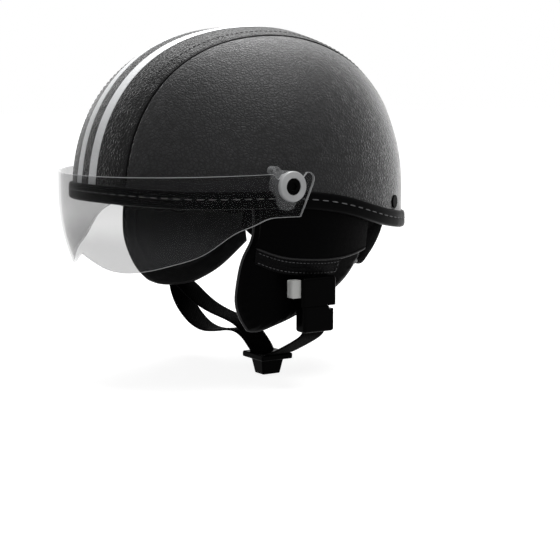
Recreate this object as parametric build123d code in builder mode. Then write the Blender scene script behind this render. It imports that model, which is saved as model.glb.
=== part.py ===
"""Half shell helmet with a flip-up clear visor, ear flaps, nape curtain and a buckled chin strap.

Millimetres. The origin is the head seat, the middle of the widest section at the foot of the
dome. +X is the wearer's left, -Y the front and +Z up.
"""
import math
import os

from build123d import *

os.makedirs("parts", exist_ok=True)

# Dome, measured over the leatherette
half_width = 115.0
front_reach = 141.0
rear_reach = 127.0
crown_height = 129.0
crown_fullness_share = 0.62
wall_drop = 62.0

# Layers from the outside in
cover_thickness = 1.6
shell_thickness = 3.5
liner_thickness = 22.0
pad_thickness = 8.0
bond_gap = 0.1
seat_gap = 0.3

# Rim line, the lowest line of the edge trim seen from the side
rim_front_z = -1.0
rim_side_z = -5.5
rim_rear_z = -31.0
rim_reach_shares = (-1.15, -0.71, -0.28, 0.08, 0.47, 1.20)
rim_dip_shares = (0.0, 0.0, 0.0, 0.20, 0.67, 1.0)

# Edge trim, a U-shaped moulding pressed over the rim
trim_proud = 2.5
trim_height = 13.0
trim_web = 2.4
trim_lip = 2.0
trim_lip_height = 8.0
trim_round = 2.0
trim_end_gap = 0.2

# Leatherette panels, welted seams and stripes
seam_front_x = 44.0
seam_crown_x = 46.5
seam_rear_x = 58.0
seam_gap = 1.6
welt_sink = 0.35
stripe_inner_x = 5.5
stripe_width = 12.0
stripe_thickness = 0.4
stripe_end_z = 77.0

# Inner fittings
liner_lift = 10.0
headband_drop = 4.0
headband_height = 26.0
crown_pad_low_z = 58.0
crown_pad_round = 3.0
notch_margin = 3.0
notch_floor = 24.0

# Visor and its pivots
visor_radius = 119.6
visor_centre_y = -31.0
visor_thickness = 2.0
visor_top_front_z = 17.0
visor_top_rear_z = 21.0
visor_low_z = -54.0
visor_lean = 11.0
visor_rear_y = -17.0
visor_rear_low_y = -28.5
visor_rear_low_z = -11.0
visor_rear_mid_z = 14.0
visor_corner_round = 2.5
visor_low_reach_shares = (0.14, 0.21, 0.29, 0.40, 0.54, 0.67, 0.80, 0.95, 1.12)
visor_low_drop_shares = (0.0, 0.02, 0.12, 0.26, 0.60, 0.79, 0.95, 1.0, 1.0)
visor_lean_mid_share = 0.25
nose_half_width = 30.0
nose_rise = 11.0
nose_shoulder_share = 0.42
pivot_y = -37.5
pivot_z = 11.0
hub_radius = 7.0
hub_clearance = 0.06
base_radius = 11.0
base_face_x = 115.8
base_lobe_radius = 7.5
base_lobe_drop = 10.0
base_ear_radius = 3.2
base_ear_hole_radius = 1.3
base_ear_forward = 8.5
base_ear_rise = 11.0
base_ear_face_x = 114.7
collar_radius = 8.6
collar_height = 0.5
knob_radius = 11.0
knob_bore_radius = 6.2
knob_thickness = 3.4
knob_floor = 0.8
knob_round = 1.0
washer_radius = 9.6
washer_thickness = 0.3
washer_gap = 0.1
screw_head_radius = 5.9
screw_head_height = 2.0
screw_recess_radius = 3.0
screw_recess_depth = 1.0
screw_radius = 2.5
screw_clearance = 0.2
nut_barrel_radius = 3.6
nut_flange_radius = 6.4
nut_flange_thickness = 1.6
nut_tip_x = 104.0
nut_seat_x = 97.3

# Strap rivets at the rear sides and the press stud at the back
rivet_y = 75.0
rivet_z = -6.0
rivet_head_radius = 5.0
rivet_head_height = 1.6
rivet_shank_radius = 2.0
rivet_hole_clearance = 0.3
rivet_seat_depth = 13.0
rivet_washer_radius = 6.0
rivet_washer_thickness = 1.2
stud_z = 2.0
stud_ring_radius = 9.8
stud_ring_bore_radius = 6.9
stud_ring_proud = 1.4
stud_cap_radius = 6.6
stud_cap_proud = 0.9
stud_seat_sink = 0.8
stud_shank_radius = 2.5

# Ear flaps: outer skin, webbing and pad lie behind the trim in this order
skin_inset = 7.8
skin_thickness = 1.5
webbing_thickness = 1.6
layer_gap = 0.3
flap_pad_thickness = 9.0
flap_top_lift = 9.7
flap_top_z = 24.0
flap_mid_z = -45.0
flap_foot_z = -100.0
flap_mid_lean = 6.0
flap_foot_lean = 22.0
flap_reach = 62.0
flap_drop = 97.0
flap_rear_y = 49.5
flap_top_reach_share = 0.87
flap_edge_reach_shares = (-0.93, -1.0, -0.90, -0.77, -0.60, -0.28, 0.22, 0.53)
flap_edge_drop_shares = (0.32, 0.65, 0.89, 0.99, 0.98, 0.90, 0.70, 0.52)
flap_rear_drop_share = 0.38
flap_round = 3.0

# Belt loop band across each flap and the hem of the skin above it
hem_z = -44.0
hem_front_rise = 9.0
hem_front_y = -53.0
hem_mid_y = -24.0
hem_rear_y = 21.0
hem_rear_drop = 1.0
hem_tail_rise = 7.0
loop_height = 10.0
loop_proud = 0.7
loop_gap = 0.4

# Nape curtain, a padded roll that hangs inside the rear rim
curtain_front_y = 50.0
curtain_inset = 12.0
curtain_thickness = 10.0
curtain_top_z = -9.0
curtain_mid_z = -39.0
curtain_foot_z = -60.5
curtain_mid_lean = 5.0
curtain_foot_lean = 21.0
curtain_corner_drop_shares = (0.66, 0.84, 0.96, 1.0)
curtain_corner_reach_shares = (0.0, 0.10, 0.32, 0.62)
curtain_round = 3.5

# Webbing and its Y-shaped yoke on each side
webbing_width = 20.0
strap_y = -4.0
yoke_z = -38.0
yoke_foot_z = -61.0
yoke_hole_clearance = 0.4

# Buckle on the left side: a housing with a side button and a forked tongue block
buckle_x = 101.6
buckle_depth = 13.0
buckle_width = 30.0
buckle_top_z = -57.0
buckle_height = 21.5
buckle_round = 2.2
buckle_wall = 2.6
buckle_back_wall = 3.0
buckle_roof = 3.5
buckle_gap = 0.4
tongue_depth = 12.0
tongue_width = 27.0
tongue_block_height = 19.0
tongue_thickness = 2.8
tongue_reach = 15.5
tongue_inset = 0.3
prong_width = 4.0
prong_round = 1.8
fork_half_width = 8.3
tongue_notch_height = 2.4
tongue_notch_length = 5.0
button_proud = 8.0
button_length = 10.2
button_height = 13.0
button_roof = 1.5
button_round = 1.6
button_clearance = 0.25
button_travel = 4.0
pawl_thickness = 2.6
pawl_height = 5.0
pawl_length = 11.7
pawl_offset = 0.7
tooth_length = 1.4
tooth_height = 2.4
leaf_thickness = 0.6
leaf_height = 4.0
leaf_bow = 2.2
leaf_gap = 0.4
strap_slot_depth = 5.0
strap_slot_gap = 0.35

# Strap adjuster on the right side, a block that both strap runs enter from below
adjuster_height = 27.0
adjuster_depth = 12.0
adjuster_width = 26.0
adjuster_hole_radius = 2.4
adjuster_hole_rise = 12.0
adjuster_round = 2.0
run_spacing = 2.6

# Chin slider: a plate with two slots over a tapered grip block
slider_x = 37.5
slider_top_z = -123.1
slider_length = 29.0
slider_width = 28.0
slider_thickness = 4.5
slider_round = 1.2
slider_bar = 5.0
slider_slot_width = 6.0
grip_length = 17.0
grip_width = 20.0
grip_height = 12.0
grip_taper = 2.2
grip_round = 1.5

# Strap runs seen from the front, as shares of the span from their upper end to the slider
left_run_shares = ((0.0, 0.17), (0.04, 0.36), (0.17, 0.59), (0.50, 0.83), (0.78, 0.885), (0.955, 0.875))
right_run_shares = (
    (0.0, 0.12), (0.035, 0.22), (0.13, 0.35), (0.28, 0.45),
    (0.48, 0.53), (0.69, 0.65), (0.87, 0.82), (1.0, 0.86),
)
tail_run_shares = (
    (0.0, 0.14), (0.03, 0.30), (0.12, 0.56), (0.28, 0.76), (0.46, 0.79),
    (0.63, 0.77), (0.79, 0.82), (0.90, 0.905), (1.0, 0.905),
)

bend_share = 0.45

# Measures that follow from the ones above
front_share = front_reach / half_width
rear_share = rear_reach / half_width
sky = crown_height + wall_drop
overrun = half_width + front_reach
shell_outer_inset = cover_thickness + bond_gap
shell_inner_inset = shell_outer_inset + shell_thickness
liner_outer_inset = shell_inner_inset + bond_gap
liner_inner_inset = liner_outer_inset + liner_thickness
pad_outer_inset = liner_inner_inset + seat_gap
pad_inner_inset = pad_outer_inset + pad_thickness
rim_lift = trim_web + trim_end_gap
webbing_inset = skin_inset + skin_thickness + layer_gap
flap_inset = webbing_inset + webbing_thickness + layer_gap
hub_tip_x = visor_radius + washer_thickness + 2 * washer_gap
buckle_low_z = buckle_top_z - buckle_height
cavity_back_x = buckle_x - buckle_depth / 2 + buckle_back_wall
cavity_depth = buckle_depth - buckle_back_wall - buckle_wall
cavity_width = buckle_width - 2 * buckle_wall
button_face_y = strap_y - buckle_width / 2 - button_proud
button_mid_z = buckle_top_z - button_roof - button_clearance - button_height / 2
pawl_x = cavity_back_x + tongue_inset + tongue_thickness + pawl_offset
pawl_tip_y = button_face_y + button_length + pawl_length
tongue_top_z = buckle_low_z - buckle_gap
tongue_low_z = tongue_top_z - tongue_block_height
adjuster_low_z = buckle_top_z - adjuster_height
slider_low_z = slider_top_z - slider_thickness
slot_offset = slider_length / 2 - slider_bar - slider_slot_width / 2
webbing_slot = webbing_thickness + 2 * strap_slot_gap
webbing_slot_width = webbing_width + 2 * strap_slot_gap


def egg(profile):
    """Turn a half profile into an egg-shaped body: a half turn behind, a longer one in front."""
    with BuildPart() as half:
        revolve(profile, axis=Axis.Z, revolution_arc=180)
    with BuildPart() as whole:
        add(scale(half.part, by=(1, rear_share, 1), mode=Mode.PRIVATE))
        front_half = mirror(half.part, about=Plane.XZ, mode=Mode.PRIVATE)
        add(scale(front_half, by=(1, front_share, 1), mode=Mode.PRIVATE))
    return whole.part


def dome_layer(outer_inset, inner_inset):
    """A dome with its straight wall, between two depths under the outer surface."""
    outer_r, outer_top = half_width - outer_inset, crown_height - outer_inset
    inner_r, inner_top = half_width - inner_inset, crown_height - inner_inset
    handle = crown_fullness_share
    with BuildSketch(Plane.XZ) as profile:
        with BuildLine():
            Bezier((0, outer_top), (outer_r * handle, outer_top), (outer_r, outer_top * handle), (outer_r, 0))
            Polyline((outer_r, 0), (outer_r, -wall_drop), (inner_r, -wall_drop), (inner_r, 0))
            Bezier((inner_r, 0), (inner_r, inner_top * handle), (inner_r * handle, inner_top), (0, inner_top))
            Line((0, inner_top), (0, outer_top))
        make_face()
    return egg(profile.sketch)


def dome_core(inset):
    """The solid dome inside a depth under the outer surface."""
    radius, top = half_width - inset, crown_height - inset
    handle = crown_fullness_share
    with BuildSketch(Plane.XZ) as profile:
        with BuildLine():
            Bezier((0, top), (radius * handle, top), (radius, top * handle), (radius, 0))
            Polyline((radius, 0), (radius, -wall_drop), (0, -wall_drop), (0, top))
        make_face()
    return egg(profile.sketch)


def wall_ring(outer_inset, inner_inset, low_z, high_z):
    """An upright ring that follows the plan of the dome."""
    outer_r, inner_r = half_width - outer_inset, half_width - inner_inset
    with BuildSketch(Plane.XZ) as profile:
        with BuildLine():
            Polyline((outer_r, high_z), (outer_r, low_z), (inner_r, low_z), (inner_r, high_z), close=True)
        make_face()
    return egg(profile.sketch)


def skirt(inset, thickness, top_z, mid_z, foot_z, mid_lean, foot_lean):
    """A hanging layer that leans in towards the jaw or nape, with an arc for its profile."""
    outer_r, inner_r = half_width - inset, half_width - inset - thickness
    with BuildSketch(Plane.XZ) as profile:
        with BuildLine():
            outer = ThreePointArc((outer_r, top_z), (outer_r - mid_lean, mid_z), (outer_r - foot_lean, foot_z))
            inner = ThreePointArc((inner_r, top_z), (inner_r - mid_lean, mid_z), (inner_r - foot_lean, foot_z))
            Line(outer @ 0, inner @ 0)
            Line(outer @ 1, inner @ 1)
        make_face()
    return egg(profile.sketch)


def flap_layer(inset, thickness):
    """One layer of the ear flap at a depth under the outer surface."""
    return skirt(inset, thickness, flap_top_z, flap_mid_z, flap_foot_z, flap_mid_lean, flap_foot_lean)


def rim_points(lift):
    """Points of the rim line seen from the side, raised by a lift."""
    points = []
    for reach_share, dip_share in zip(rim_reach_shares, rim_dip_shares):
        reach = rear_reach if reach_share > 0 else front_reach
        z = rim_side_z + dip_share * (rim_rear_z - rim_side_z)
        points.append((reach_share * reach, z + lift))
    points[0] = (points[0][0], rim_front_z + lift)
    return points


def rim_slab(low, high):
    """Everything between two copies of the rim line, through the whole width."""
    with BuildPart() as slab:
        with BuildSketch(Plane.YZ):
            with BuildLine():
                lower = Spline(*rim_points(low))
                upper = Spline(*rim_points(high))
                Line(lower @ 0, upper @ 0)
                Line(lower @ 1, upper @ 1)
            make_face()
        extrude(amount=overrun, both=True)
    return slab.part


def seam_prism(shift):
    """An upright prism between the two seams, its sides moved outwards by a shift."""
    stations = (
        (seam_front_x, -front_reach * front_share),
        (seam_crown_x, 0),
        (seam_rear_x, rear_reach * rear_share),
    )
    left = [(x + shift, y) for x, y in stations]
    right = [(-x - shift, y) for x, y in stations]
    with BuildPart() as prism:
        with BuildSketch(Plane.XY):
            with BuildLine():
                left_seam = Spline(*left)
                right_seam = Spline(*right)
                Line(left_seam @ 0, right_seam @ 0)
                Line(left_seam @ 1, right_seam @ 1)
            make_face()
        extrude(amount=sky, both=True)
    return prism.part


def cross_bore(radius):
    """A bore along the visor's pivot axis, through both sides."""
    with BuildPart() as bore:
        with BuildSketch(Plane.YZ):
            with Locations((pivot_y, pivot_z)):
                Circle(radius)
        extrude(amount=overrun, both=True)
    return bore.part


rivet_x = half_width * math.sqrt(1 - (rivet_y / rear_reach) ** 2)
rivet_plane = Plane(
    origin=(rivet_x, rivet_y, rivet_z),
    x_dir=(0, 0, 1),
    z_dir=(rivet_x / half_width**2, rivet_y / rear_reach**2, 0),
)
stud_plane = Plane(origin=(0, rear_reach, stud_z), x_dir=(1, 0, 0), z_dir=(0, 1, 0))
stud_seat_plane = stud_plane.offset(-stud_seat_sink)


def rivet_bores(radius):
    """The bores of both strap rivets."""
    with BuildPart(rivet_plane) as bores:
        Cylinder(radius, 2 * notch_floor)
        mirror(about=Plane.YZ)
    return bores.part


def stud_bore(radius):
    """The bore of the press stud at the back."""
    with BuildPart(stud_plane) as bore:
        Cylinder(radius, 4 * shell_inner_inset)
    return bore.part


def webbing_outline(width):
    """The side view of a webbing yoke as a prism through both sides."""
    with BuildPart() as prism:
        with BuildSketch(Plane.YZ):
            with BuildLine() as branches:
                Line((rivet_y, rivet_z), (strap_y, yoke_z))
                Line((pivot_y, pivot_z), (strap_y, yoke_z))
                Line((strap_y, yoke_z), (strap_y, yoke_foot_z))
            trace(branches.line, line_width=width)
            with Locations((rivet_y, rivet_z), (pivot_y, pivot_z), (strap_y, yoke_z)):
                Circle(width / 2)
        extrude(amount=overrun, both=True)
    return prism.part


# Hard shell

with BuildPart() as outer_shell:
    add(dome_layer(shell_outer_inset, shell_inner_inset))
    add(rim_slab(rim_lift, sky), mode=Mode.INTERSECT)
    add(cross_bore(screw_radius + screw_clearance), mode=Mode.SUBTRACT)
    add(rivet_bores(rivet_shank_radius + rivet_hole_clearance), mode=Mode.SUBTRACT)
    add(stud_bore(stud_shank_radius + rivet_hole_clearance), mode=Mode.SUBTRACT)
outer_shell.part.label = "outer_shell"
export_step(outer_shell.part, "parts/outer_shell.step")

# Leatherette panels: one over the crown, one on each side, with a welt in each seam

with BuildPart(stud_seat_plane) as stud_seat:
    Cylinder(stud_ring_radius + bond_gap, stud_ring_radius, align=(Align.CENTER, Align.CENTER, Align.MIN))

with BuildPart() as cover_skin:
    add(dome_layer(0, cover_thickness))
    add(rim_slab(rim_lift, sky), mode=Mode.INTERSECT)
    add(cross_bore(screw_radius + screw_clearance), mode=Mode.SUBTRACT)
    add(rivet_bores(rivet_shank_radius + rivet_hole_clearance), mode=Mode.SUBTRACT)
    add(stud_bore(stud_shank_radius + rivet_hole_clearance), mode=Mode.SUBTRACT)
    add(stud_seat.part, mode=Mode.SUBTRACT)

with BuildPart() as cover_centre:
    add(cover_skin.part)
    add(seam_prism(-seam_gap / 2), mode=Mode.INTERSECT)
cover_centre.part.label = "cover_centre"
export_step(cover_centre.part, "parts/cover_centre.step")

with BuildPart() as cover_left:
    add(cover_skin.part)
    add(seam_prism(seam_gap / 2), mode=Mode.SUBTRACT)
    split(bisect_by=Plane.YZ, keep=Keep.TOP)
cover_left.part.label = "cover_left"
export_step(cover_left.part, "parts/cover_left.step")

with BuildPart() as cover_right:
    add(mirror(cover_left.part, about=Plane.YZ, mode=Mode.PRIVATE))
cover_right.part.label = "cover_right"
export_step(cover_right.part, "parts/cover_right.step")

with BuildPart() as seam_welt_left:
    add(dome_layer(welt_sink, cover_thickness))
    add(rim_slab(rim_lift, sky), mode=Mode.INTERSECT)
    add(seam_prism(seam_gap / 2), mode=Mode.INTERSECT)
    add(seam_prism(-seam_gap / 2), mode=Mode.SUBTRACT)
    split(bisect_by=Plane.YZ, keep=Keep.TOP)
seam_welt_left.part.label = "seam_welt_left"
export_step(seam_welt_left.part, "parts/seam_welt_left.step")

with BuildPart() as seam_welt_right:
    add(mirror(seam_welt_left.part, about=Plane.YZ, mode=Mode.PRIVATE))
seam_welt_right.part.label = "seam_welt_right"
export_step(seam_welt_right.part, "parts/seam_welt_right.step")

# Stripes from the front of the trim over the crown

with BuildPart() as stripe_left:
    add(dome_layer(-stripe_thickness - bond_gap, -bond_gap))
    add(rim_slab(trim_height + trim_end_gap, sky), mode=Mode.INTERSECT)
    with BuildSketch(Plane.XY):
        with Locations((stripe_inner_x + stripe_width / 2, 0)):
            Rectangle(stripe_width, 2 * overrun)
    extrude(amount=sky, both=True, mode=Mode.INTERSECT)
    with BuildSketch(Plane.YZ):
        with Locations((0, stripe_end_z)):
            Rectangle(overrun, sky, align=(Align.MIN, Align.MAX))
    extrude(amount=overrun, both=True, mode=Mode.SUBTRACT)
stripe_left.part.label = "stripe_left"
export_step(stripe_left.part, "parts/stripe_left.step")

with BuildPart() as stripe_right:
    add(mirror(stripe_left.part, about=Plane.YZ, mode=Mode.PRIVATE))
stripe_right.part.label = "stripe_right"
export_step(stripe_right.part, "parts/stripe_right.step")

# Edge trim: a rounded band outside, a web under the rim and a lower lip inside

with BuildPart() as trim_channel:
    add(wall_ring(0, liner_outer_inset, -wall_drop, trim_height * 2))
    add(rim_slab(trim_web, sky), mode=Mode.INTERSECT)

with BuildPart() as trim_inside:
    add(wall_ring(0, 2 * liner_outer_inset, -wall_drop, trim_height * 2))
    add(rim_slab(trim_lip_height, sky), mode=Mode.INTERSECT)

with BuildPart() as edge_trim:
    add(wall_ring(-trim_proud, liner_outer_inset + trim_lip, -wall_drop, trim_height * 2))
    add(rim_slab(0, trim_height), mode=Mode.INTERSECT)
    fillet(edge_trim.edges().filter_by(lambda edge: edge.length > half_width), trim_round)
    add(trim_channel.part, mode=Mode.SUBTRACT)
    add(trim_inside.part, mode=Mode.SUBTRACT)
edge_trim.part.label = "edge_trim"
export_step(edge_trim.part, "parts/edge_trim.step")

# Foam liner with recesses for the strap anchors

with BuildPart() as anchor_recesses:
    add(dome_layer(0, notch_floor))
    add(webbing_outline(webbing_width + 2 * notch_margin), mode=Mode.INTERSECT)

with BuildPart() as foam_liner:
    add(dome_layer(liner_outer_inset, liner_inner_inset))
    add(rim_slab(liner_lift, sky), mode=Mode.INTERSECT)
    add(anchor_recesses.part, mode=Mode.SUBTRACT)
foam_liner.part.label = "foam_liner"
export_step(foam_liner.part, "parts/foam_liner.step")

# Comfort pads: a cap in the crown and a band round the brow and nape

with BuildPart() as crown_pad:
    add(dome_layer(pad_outer_inset, pad_inner_inset))
    split(bisect_by=Plane.XY.offset(crown_pad_low_z), keep=Keep.TOP)
    fillet(crown_pad.edges().filter_by(lambda edge: edge.length > half_width), crown_pad_round)
crown_pad.part.label = "crown_pad"
export_step(crown_pad.part, "parts/crown_pad.step")

with BuildPart() as headband:
    add(dome_layer(pad_outer_inset, pad_inner_inset))
    add(rim_slab(-headband_drop, headband_height), mode=Mode.INTERSECT)
headband.part.label = "headband"
export_step(headband.part, "parts/headband.step")

# Ear flaps: a pad, the webbing yoke over it, then the outer skin with its belt loop


def flap_outline(rear_y):
    """The side view of a flap as a prism on the left side, open at the top."""
    foot = [
        (reach * flap_reach, -drop * flap_drop)
        for reach, drop in zip(flap_edge_reach_shares, flap_edge_drop_shares)
    ]
    with BuildPart() as prism:
        with BuildSketch(Plane.YZ):
            with BuildLine():
                edge = Spline(*foot, (rear_y, -flap_rear_drop_share * flap_drop))
                Polyline(edge @ 1, (rear_y, sky), (-flap_top_reach_share * flap_reach, sky), edge @ 0)
            make_face()
        extrude(amount=overrun)
        add(rim_slab(flap_top_lift, 2 * sky), mode=Mode.SUBTRACT)
    return prism.part


def hem_points(shift):
    """The hem line of the flap's skin seen from the side, moved up by a shift."""
    return [
        (-2 * flap_reach, hem_z + 3 * hem_front_rise + shift),
        (hem_front_y, hem_z + hem_front_rise + shift),
        (hem_mid_y, hem_z + shift),
        (hem_rear_y, hem_z - hem_rear_drop + shift),
        (2 * flap_rear_y, hem_z + hem_tail_rise + shift),
    ]


def hem_slab(low, high):
    """Everything between two copies of the hem line on the left side."""
    with BuildPart() as slab:
        with BuildSketch(Plane.YZ):
            with BuildLine():
                lower = Spline(*hem_points(low))
                upper = Spline(*hem_points(high))
                Line(lower @ 0, upper @ 0)
                Line(lower @ 1, upper @ 1)
            make_face()
        extrude(amount=overrun)
    return slab.part


with BuildPart() as ear_flap_left:
    add(flap_layer(flap_inset, flap_pad_thickness))
    add(flap_outline(flap_rear_y), mode=Mode.INTERSECT)
    fillet(ear_flap_left.edges().filter_by(lambda edge: edge.length > flap_reach / 2), flap_round)
ear_flap_left.part.label = "ear_flap_left"
export_step(ear_flap_left.part, "parts/ear_flap_left.step")

with BuildPart() as ear_flap_right:
    add(mirror(ear_flap_left.part, about=Plane.YZ, mode=Mode.PRIVATE))
ear_flap_right.part.label = "ear_flap_right"
export_step(ear_flap_right.part, "parts/ear_flap_right.step")

with BuildPart() as flap_skin_left:
    add(flap_layer(skin_inset, skin_thickness))
    add(flap_outline(flap_rear_y), mode=Mode.INTERSECT)
    add(hem_slab(0, sky), mode=Mode.INTERSECT)
flap_skin_left.part.label = "flap_skin_left"
export_step(flap_skin_left.part, "parts/flap_skin_left.step")

with BuildPart() as flap_skin_right:
    add(mirror(flap_skin_left.part, about=Plane.YZ, mode=Mode.PRIVATE))
flap_skin_right.part.label = "flap_skin_right"
export_step(flap_skin_right.part, "parts/flap_skin_right.step")

with BuildPart() as belt_loop_left:
    add(flap_layer(skin_inset - loop_proud, skin_thickness + loop_proud))
    add(hem_slab(-loop_gap - loop_height, -loop_gap), mode=Mode.INTERSECT)
    with BuildSketch(Plane.YZ):
        with Locations((hem_front_y, 0)):
            Rectangle(hem_rear_y - hem_front_y, 2 * sky, align=(Align.MIN, Align.CENTER))
    extrude(amount=overrun, mode=Mode.INTERSECT)
belt_loop_left.part.label = "belt_loop_left"
export_step(belt_loop_left.part, "parts/belt_loop_left.step")

with BuildPart() as belt_loop_right:
    add(mirror(belt_loop_left.part, about=Plane.YZ, mode=Mode.PRIVATE))
belt_loop_right.part.label = "belt_loop_right"
export_step(belt_loop_right.part, "parts/belt_loop_right.step")

# Webbing yoke: branches from the pivot nut and the rear rivet join over the ear

with BuildPart() as yoke_left:
    add(flap_layer(webbing_inset, webbing_thickness))
    add(webbing_outline(webbing_width), mode=Mode.INTERSECT)
    split(bisect_by=Plane.YZ, keep=Keep.TOP)
    add(cross_bore(nut_barrel_radius + yoke_hole_clearance), mode=Mode.SUBTRACT)
    add(rivet_bores(rivet_shank_radius + rivet_hole_clearance), mode=Mode.SUBTRACT)
yoke_left.part.label = "yoke_left"
export_step(yoke_left.part, "parts/yoke_left.step")

with BuildPart() as yoke_right:
    add(mirror(yoke_left.part, about=Plane.YZ, mode=Mode.PRIVATE))
yoke_right.part.label = "yoke_right"
export_step(yoke_right.part, "parts/yoke_right.step")

# Nape curtain, rounded all over like a padded roll

with BuildPart() as webbing_channel:
    add(flap_layer(bond_gap, flap_inset - bond_gap))
    add(webbing_outline(webbing_width + 2 * layer_gap), mode=Mode.INTERSECT)

with BuildPart() as nape_curtain:
    leans = (curtain_mid_lean, curtain_foot_lean)
    add(skirt(curtain_inset, curtain_thickness, curtain_top_z, curtain_mid_z, curtain_foot_z, *leans))
    with BuildSketch(Plane.YZ):
        with BuildLine():
            corner = [
                (curtain_front_y + reach * (rear_reach - curtain_front_y), drop * curtain_foot_z)
                for reach, drop in zip(curtain_corner_reach_shares, curtain_corner_drop_shares)
            ]
            foot = Spline(*corner, (rear_reach * rear_share, curtain_foot_z))
            Polyline(foot @ 1, (rear_reach * rear_share, sky), (curtain_front_y, sky), foot @ 0)
        make_face()
    extrude(amount=overrun, both=True, mode=Mode.INTERSECT)
    add(rim_slab(flap_top_lift, 2 * sky), mode=Mode.SUBTRACT)
    fillet(nape_curtain.edges(), curtain_round)
    add(webbing_channel.part, mode=Mode.SUBTRACT)
nape_curtain.part.label = "nape_curtain"
export_step(nape_curtain.part, "parts/nape_curtain.step")

# Visor: a half turn with straight sides at the pivots, cut to its side outline and nose notch

with BuildPart() as visor:
    with BuildSketch(Plane.XZ.offset(-visor_centre_y)) as visor_profile:
        with BuildLine():
            outer_foot = (visor_radius - visor_lean, visor_low_z)
            outer_mid = (visor_radius - visor_lean * visor_lean_mid_share, visor_low_z / 2)
            Line((visor_radius, visor_top_rear_z), (visor_radius, 0))
            ThreePointArc((visor_radius, 0), outer_mid, outer_foot)
            inner_radius = visor_radius - visor_thickness
            inner_foot = (inner_radius - visor_lean, visor_low_z)
            inner_mid = (inner_radius - visor_lean * visor_lean_mid_share, visor_low_z / 2)
            ThreePointArc((inner_radius, 0), inner_mid, inner_foot)
            Line((inner_radius, 0), (inner_radius, visor_top_rear_z))
            Line(outer_foot, inner_foot)
            Line((inner_radius, visor_top_rear_z), (visor_radius, visor_top_rear_z))
        make_face()
    revolve(axis=Axis((0, visor_centre_y, 0), (0, 0, -1)), revolution_arc=180)
    extrude(visor_profile.sketch, amount=visor_centre_y - visor_rear_y)
    mirror(about=Plane.YZ)
    low_reach = visor_radius - visor_centre_y + visor_rear_low_y
    low_drop = visor_rear_low_z - visor_low_z
    with BuildSketch(Plane.YZ):
        with BuildLine():
            low_edge = [
                (visor_rear_low_y - reach * low_reach, visor_rear_low_z - drop * low_drop)
                for reach, drop in zip(visor_low_reach_shares, visor_low_drop_shares)
            ]
            lower = Spline((visor_rear_low_y, visor_rear_low_z), *low_edge)
            front_top = (low_edge[-1][0], visor_top_front_z)
            Line(lower @ 1, front_top)
            FilletPolyline(
                front_top,
                (visor_rear_y - visor_corner_round, visor_top_rear_z),
                (visor_rear_y, visor_rear_mid_z),
                (visor_rear_low_y, visor_rear_low_z),
                radius=visor_corner_round,
            )
        make_face()
    extrude(amount=overrun, both=True, mode=Mode.INTERSECT)
    with BuildSketch(Plane.XZ):
        with BuildLine():
            shoulder_z = visor_low_z + nose_rise * nose_shoulder_share
            notch = Spline(
                (-nose_half_width, visor_low_z - visor_thickness),
                (-nose_half_width / 2, shoulder_z),
                (0, visor_low_z + nose_rise),
                (nose_half_width / 2, shoulder_z),
                (nose_half_width, visor_low_z - visor_thickness),
            )
            Line(notch @ 0, notch @ 1)
        make_face()
    extrude(amount=overrun, mode=Mode.SUBTRACT)
    add(cross_bore(hub_radius + hub_clearance), mode=Mode.SUBTRACT)
visor.part.label = "visor"
export_step(visor.part, "parts/visor.step")

# Visor pivots: a clear base with a hub, a spring washer, a clear cupped knob, a screw and a flanged nut


def cross_plane(x):
    """An upright plane across the pivot axis at a distance from the middle."""
    return Plane.YZ.offset(x)


with BuildPart() as trim_envelope:
    add(wall_ring(-trim_proud - bond_gap, shell_inner_inset, -wall_drop, trim_height * 2))
    add(rim_slab(-bond_gap, trim_height + bond_gap), mode=Mode.INTERSECT)

with BuildPart() as visor_base_left:
    with BuildSketch(cross_plane(base_face_x)):
        with Locations((pivot_y, pivot_z)):
            Circle(base_radius)
        with Locations((pivot_y, pivot_z - base_lobe_drop)):
            Circle(base_lobe_radius)
    extrude(amount=-base_radius)
    ear_place = (pivot_y - base_ear_forward, pivot_z + base_ear_rise)
    with BuildSketch(cross_plane(base_ear_face_x)):
        with BuildLine():
            Line((pivot_y, pivot_z), ear_place)
        trace(line_width=2 * base_ear_radius)
        with Locations(ear_place):
            Circle(base_ear_radius)
            Circle(base_ear_hole_radius, mode=Mode.SUBTRACT)
    extrude(amount=-base_radius)
    with BuildSketch(cross_plane(base_face_x)):
        with Locations((pivot_y, pivot_z)):
            Circle(collar_radius)
    extrude(amount=collar_height)
    with BuildSketch(cross_plane(base_face_x)):
        with Locations((pivot_y, pivot_z)):
            Circle(hub_radius)
    extrude(amount=hub_tip_x - base_face_x)
    add(dome_core(-bond_gap), mode=Mode.SUBTRACT)
    add(trim_envelope.part, mode=Mode.SUBTRACT)
    add(cross_bore(screw_radius + screw_clearance), mode=Mode.SUBTRACT)
visor_base_left.part.label = "visor_base_left"
export_step(visor_base_left.part, "parts/visor_base_left.step")

with BuildPart() as washer_left:
    with BuildSketch(cross_plane(visor_radius + washer_gap)):
        with Locations((pivot_y, pivot_z)):
            Circle(washer_radius)
            Circle(hub_radius + hub_clearance, mode=Mode.SUBTRACT)
    extrude(amount=washer_thickness)
washer_left.part.label = "washer_left"
export_step(washer_left.part, "parts/washer_left.step")

with BuildPart() as knob_left:
    with BuildSketch(cross_plane(hub_tip_x)):
        with Locations((pivot_y, pivot_z)):
            Circle(knob_radius)
            Circle(screw_radius + screw_clearance, mode=Mode.SUBTRACT)
    extrude(amount=knob_thickness)
    with BuildSketch(cross_plane(hub_tip_x + knob_floor)):
        with Locations((pivot_y, pivot_z)):
            Circle(knob_bore_radius)
    extrude(amount=knob_thickness, mode=Mode.SUBTRACT)
    fillet(knob_left.faces().sort_by(Axis.X)[-1].outer_wire().edges(), knob_round)
knob_left.part.label = "knob_left"
export_step(knob_left.part, "parts/knob_left.step")

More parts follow.
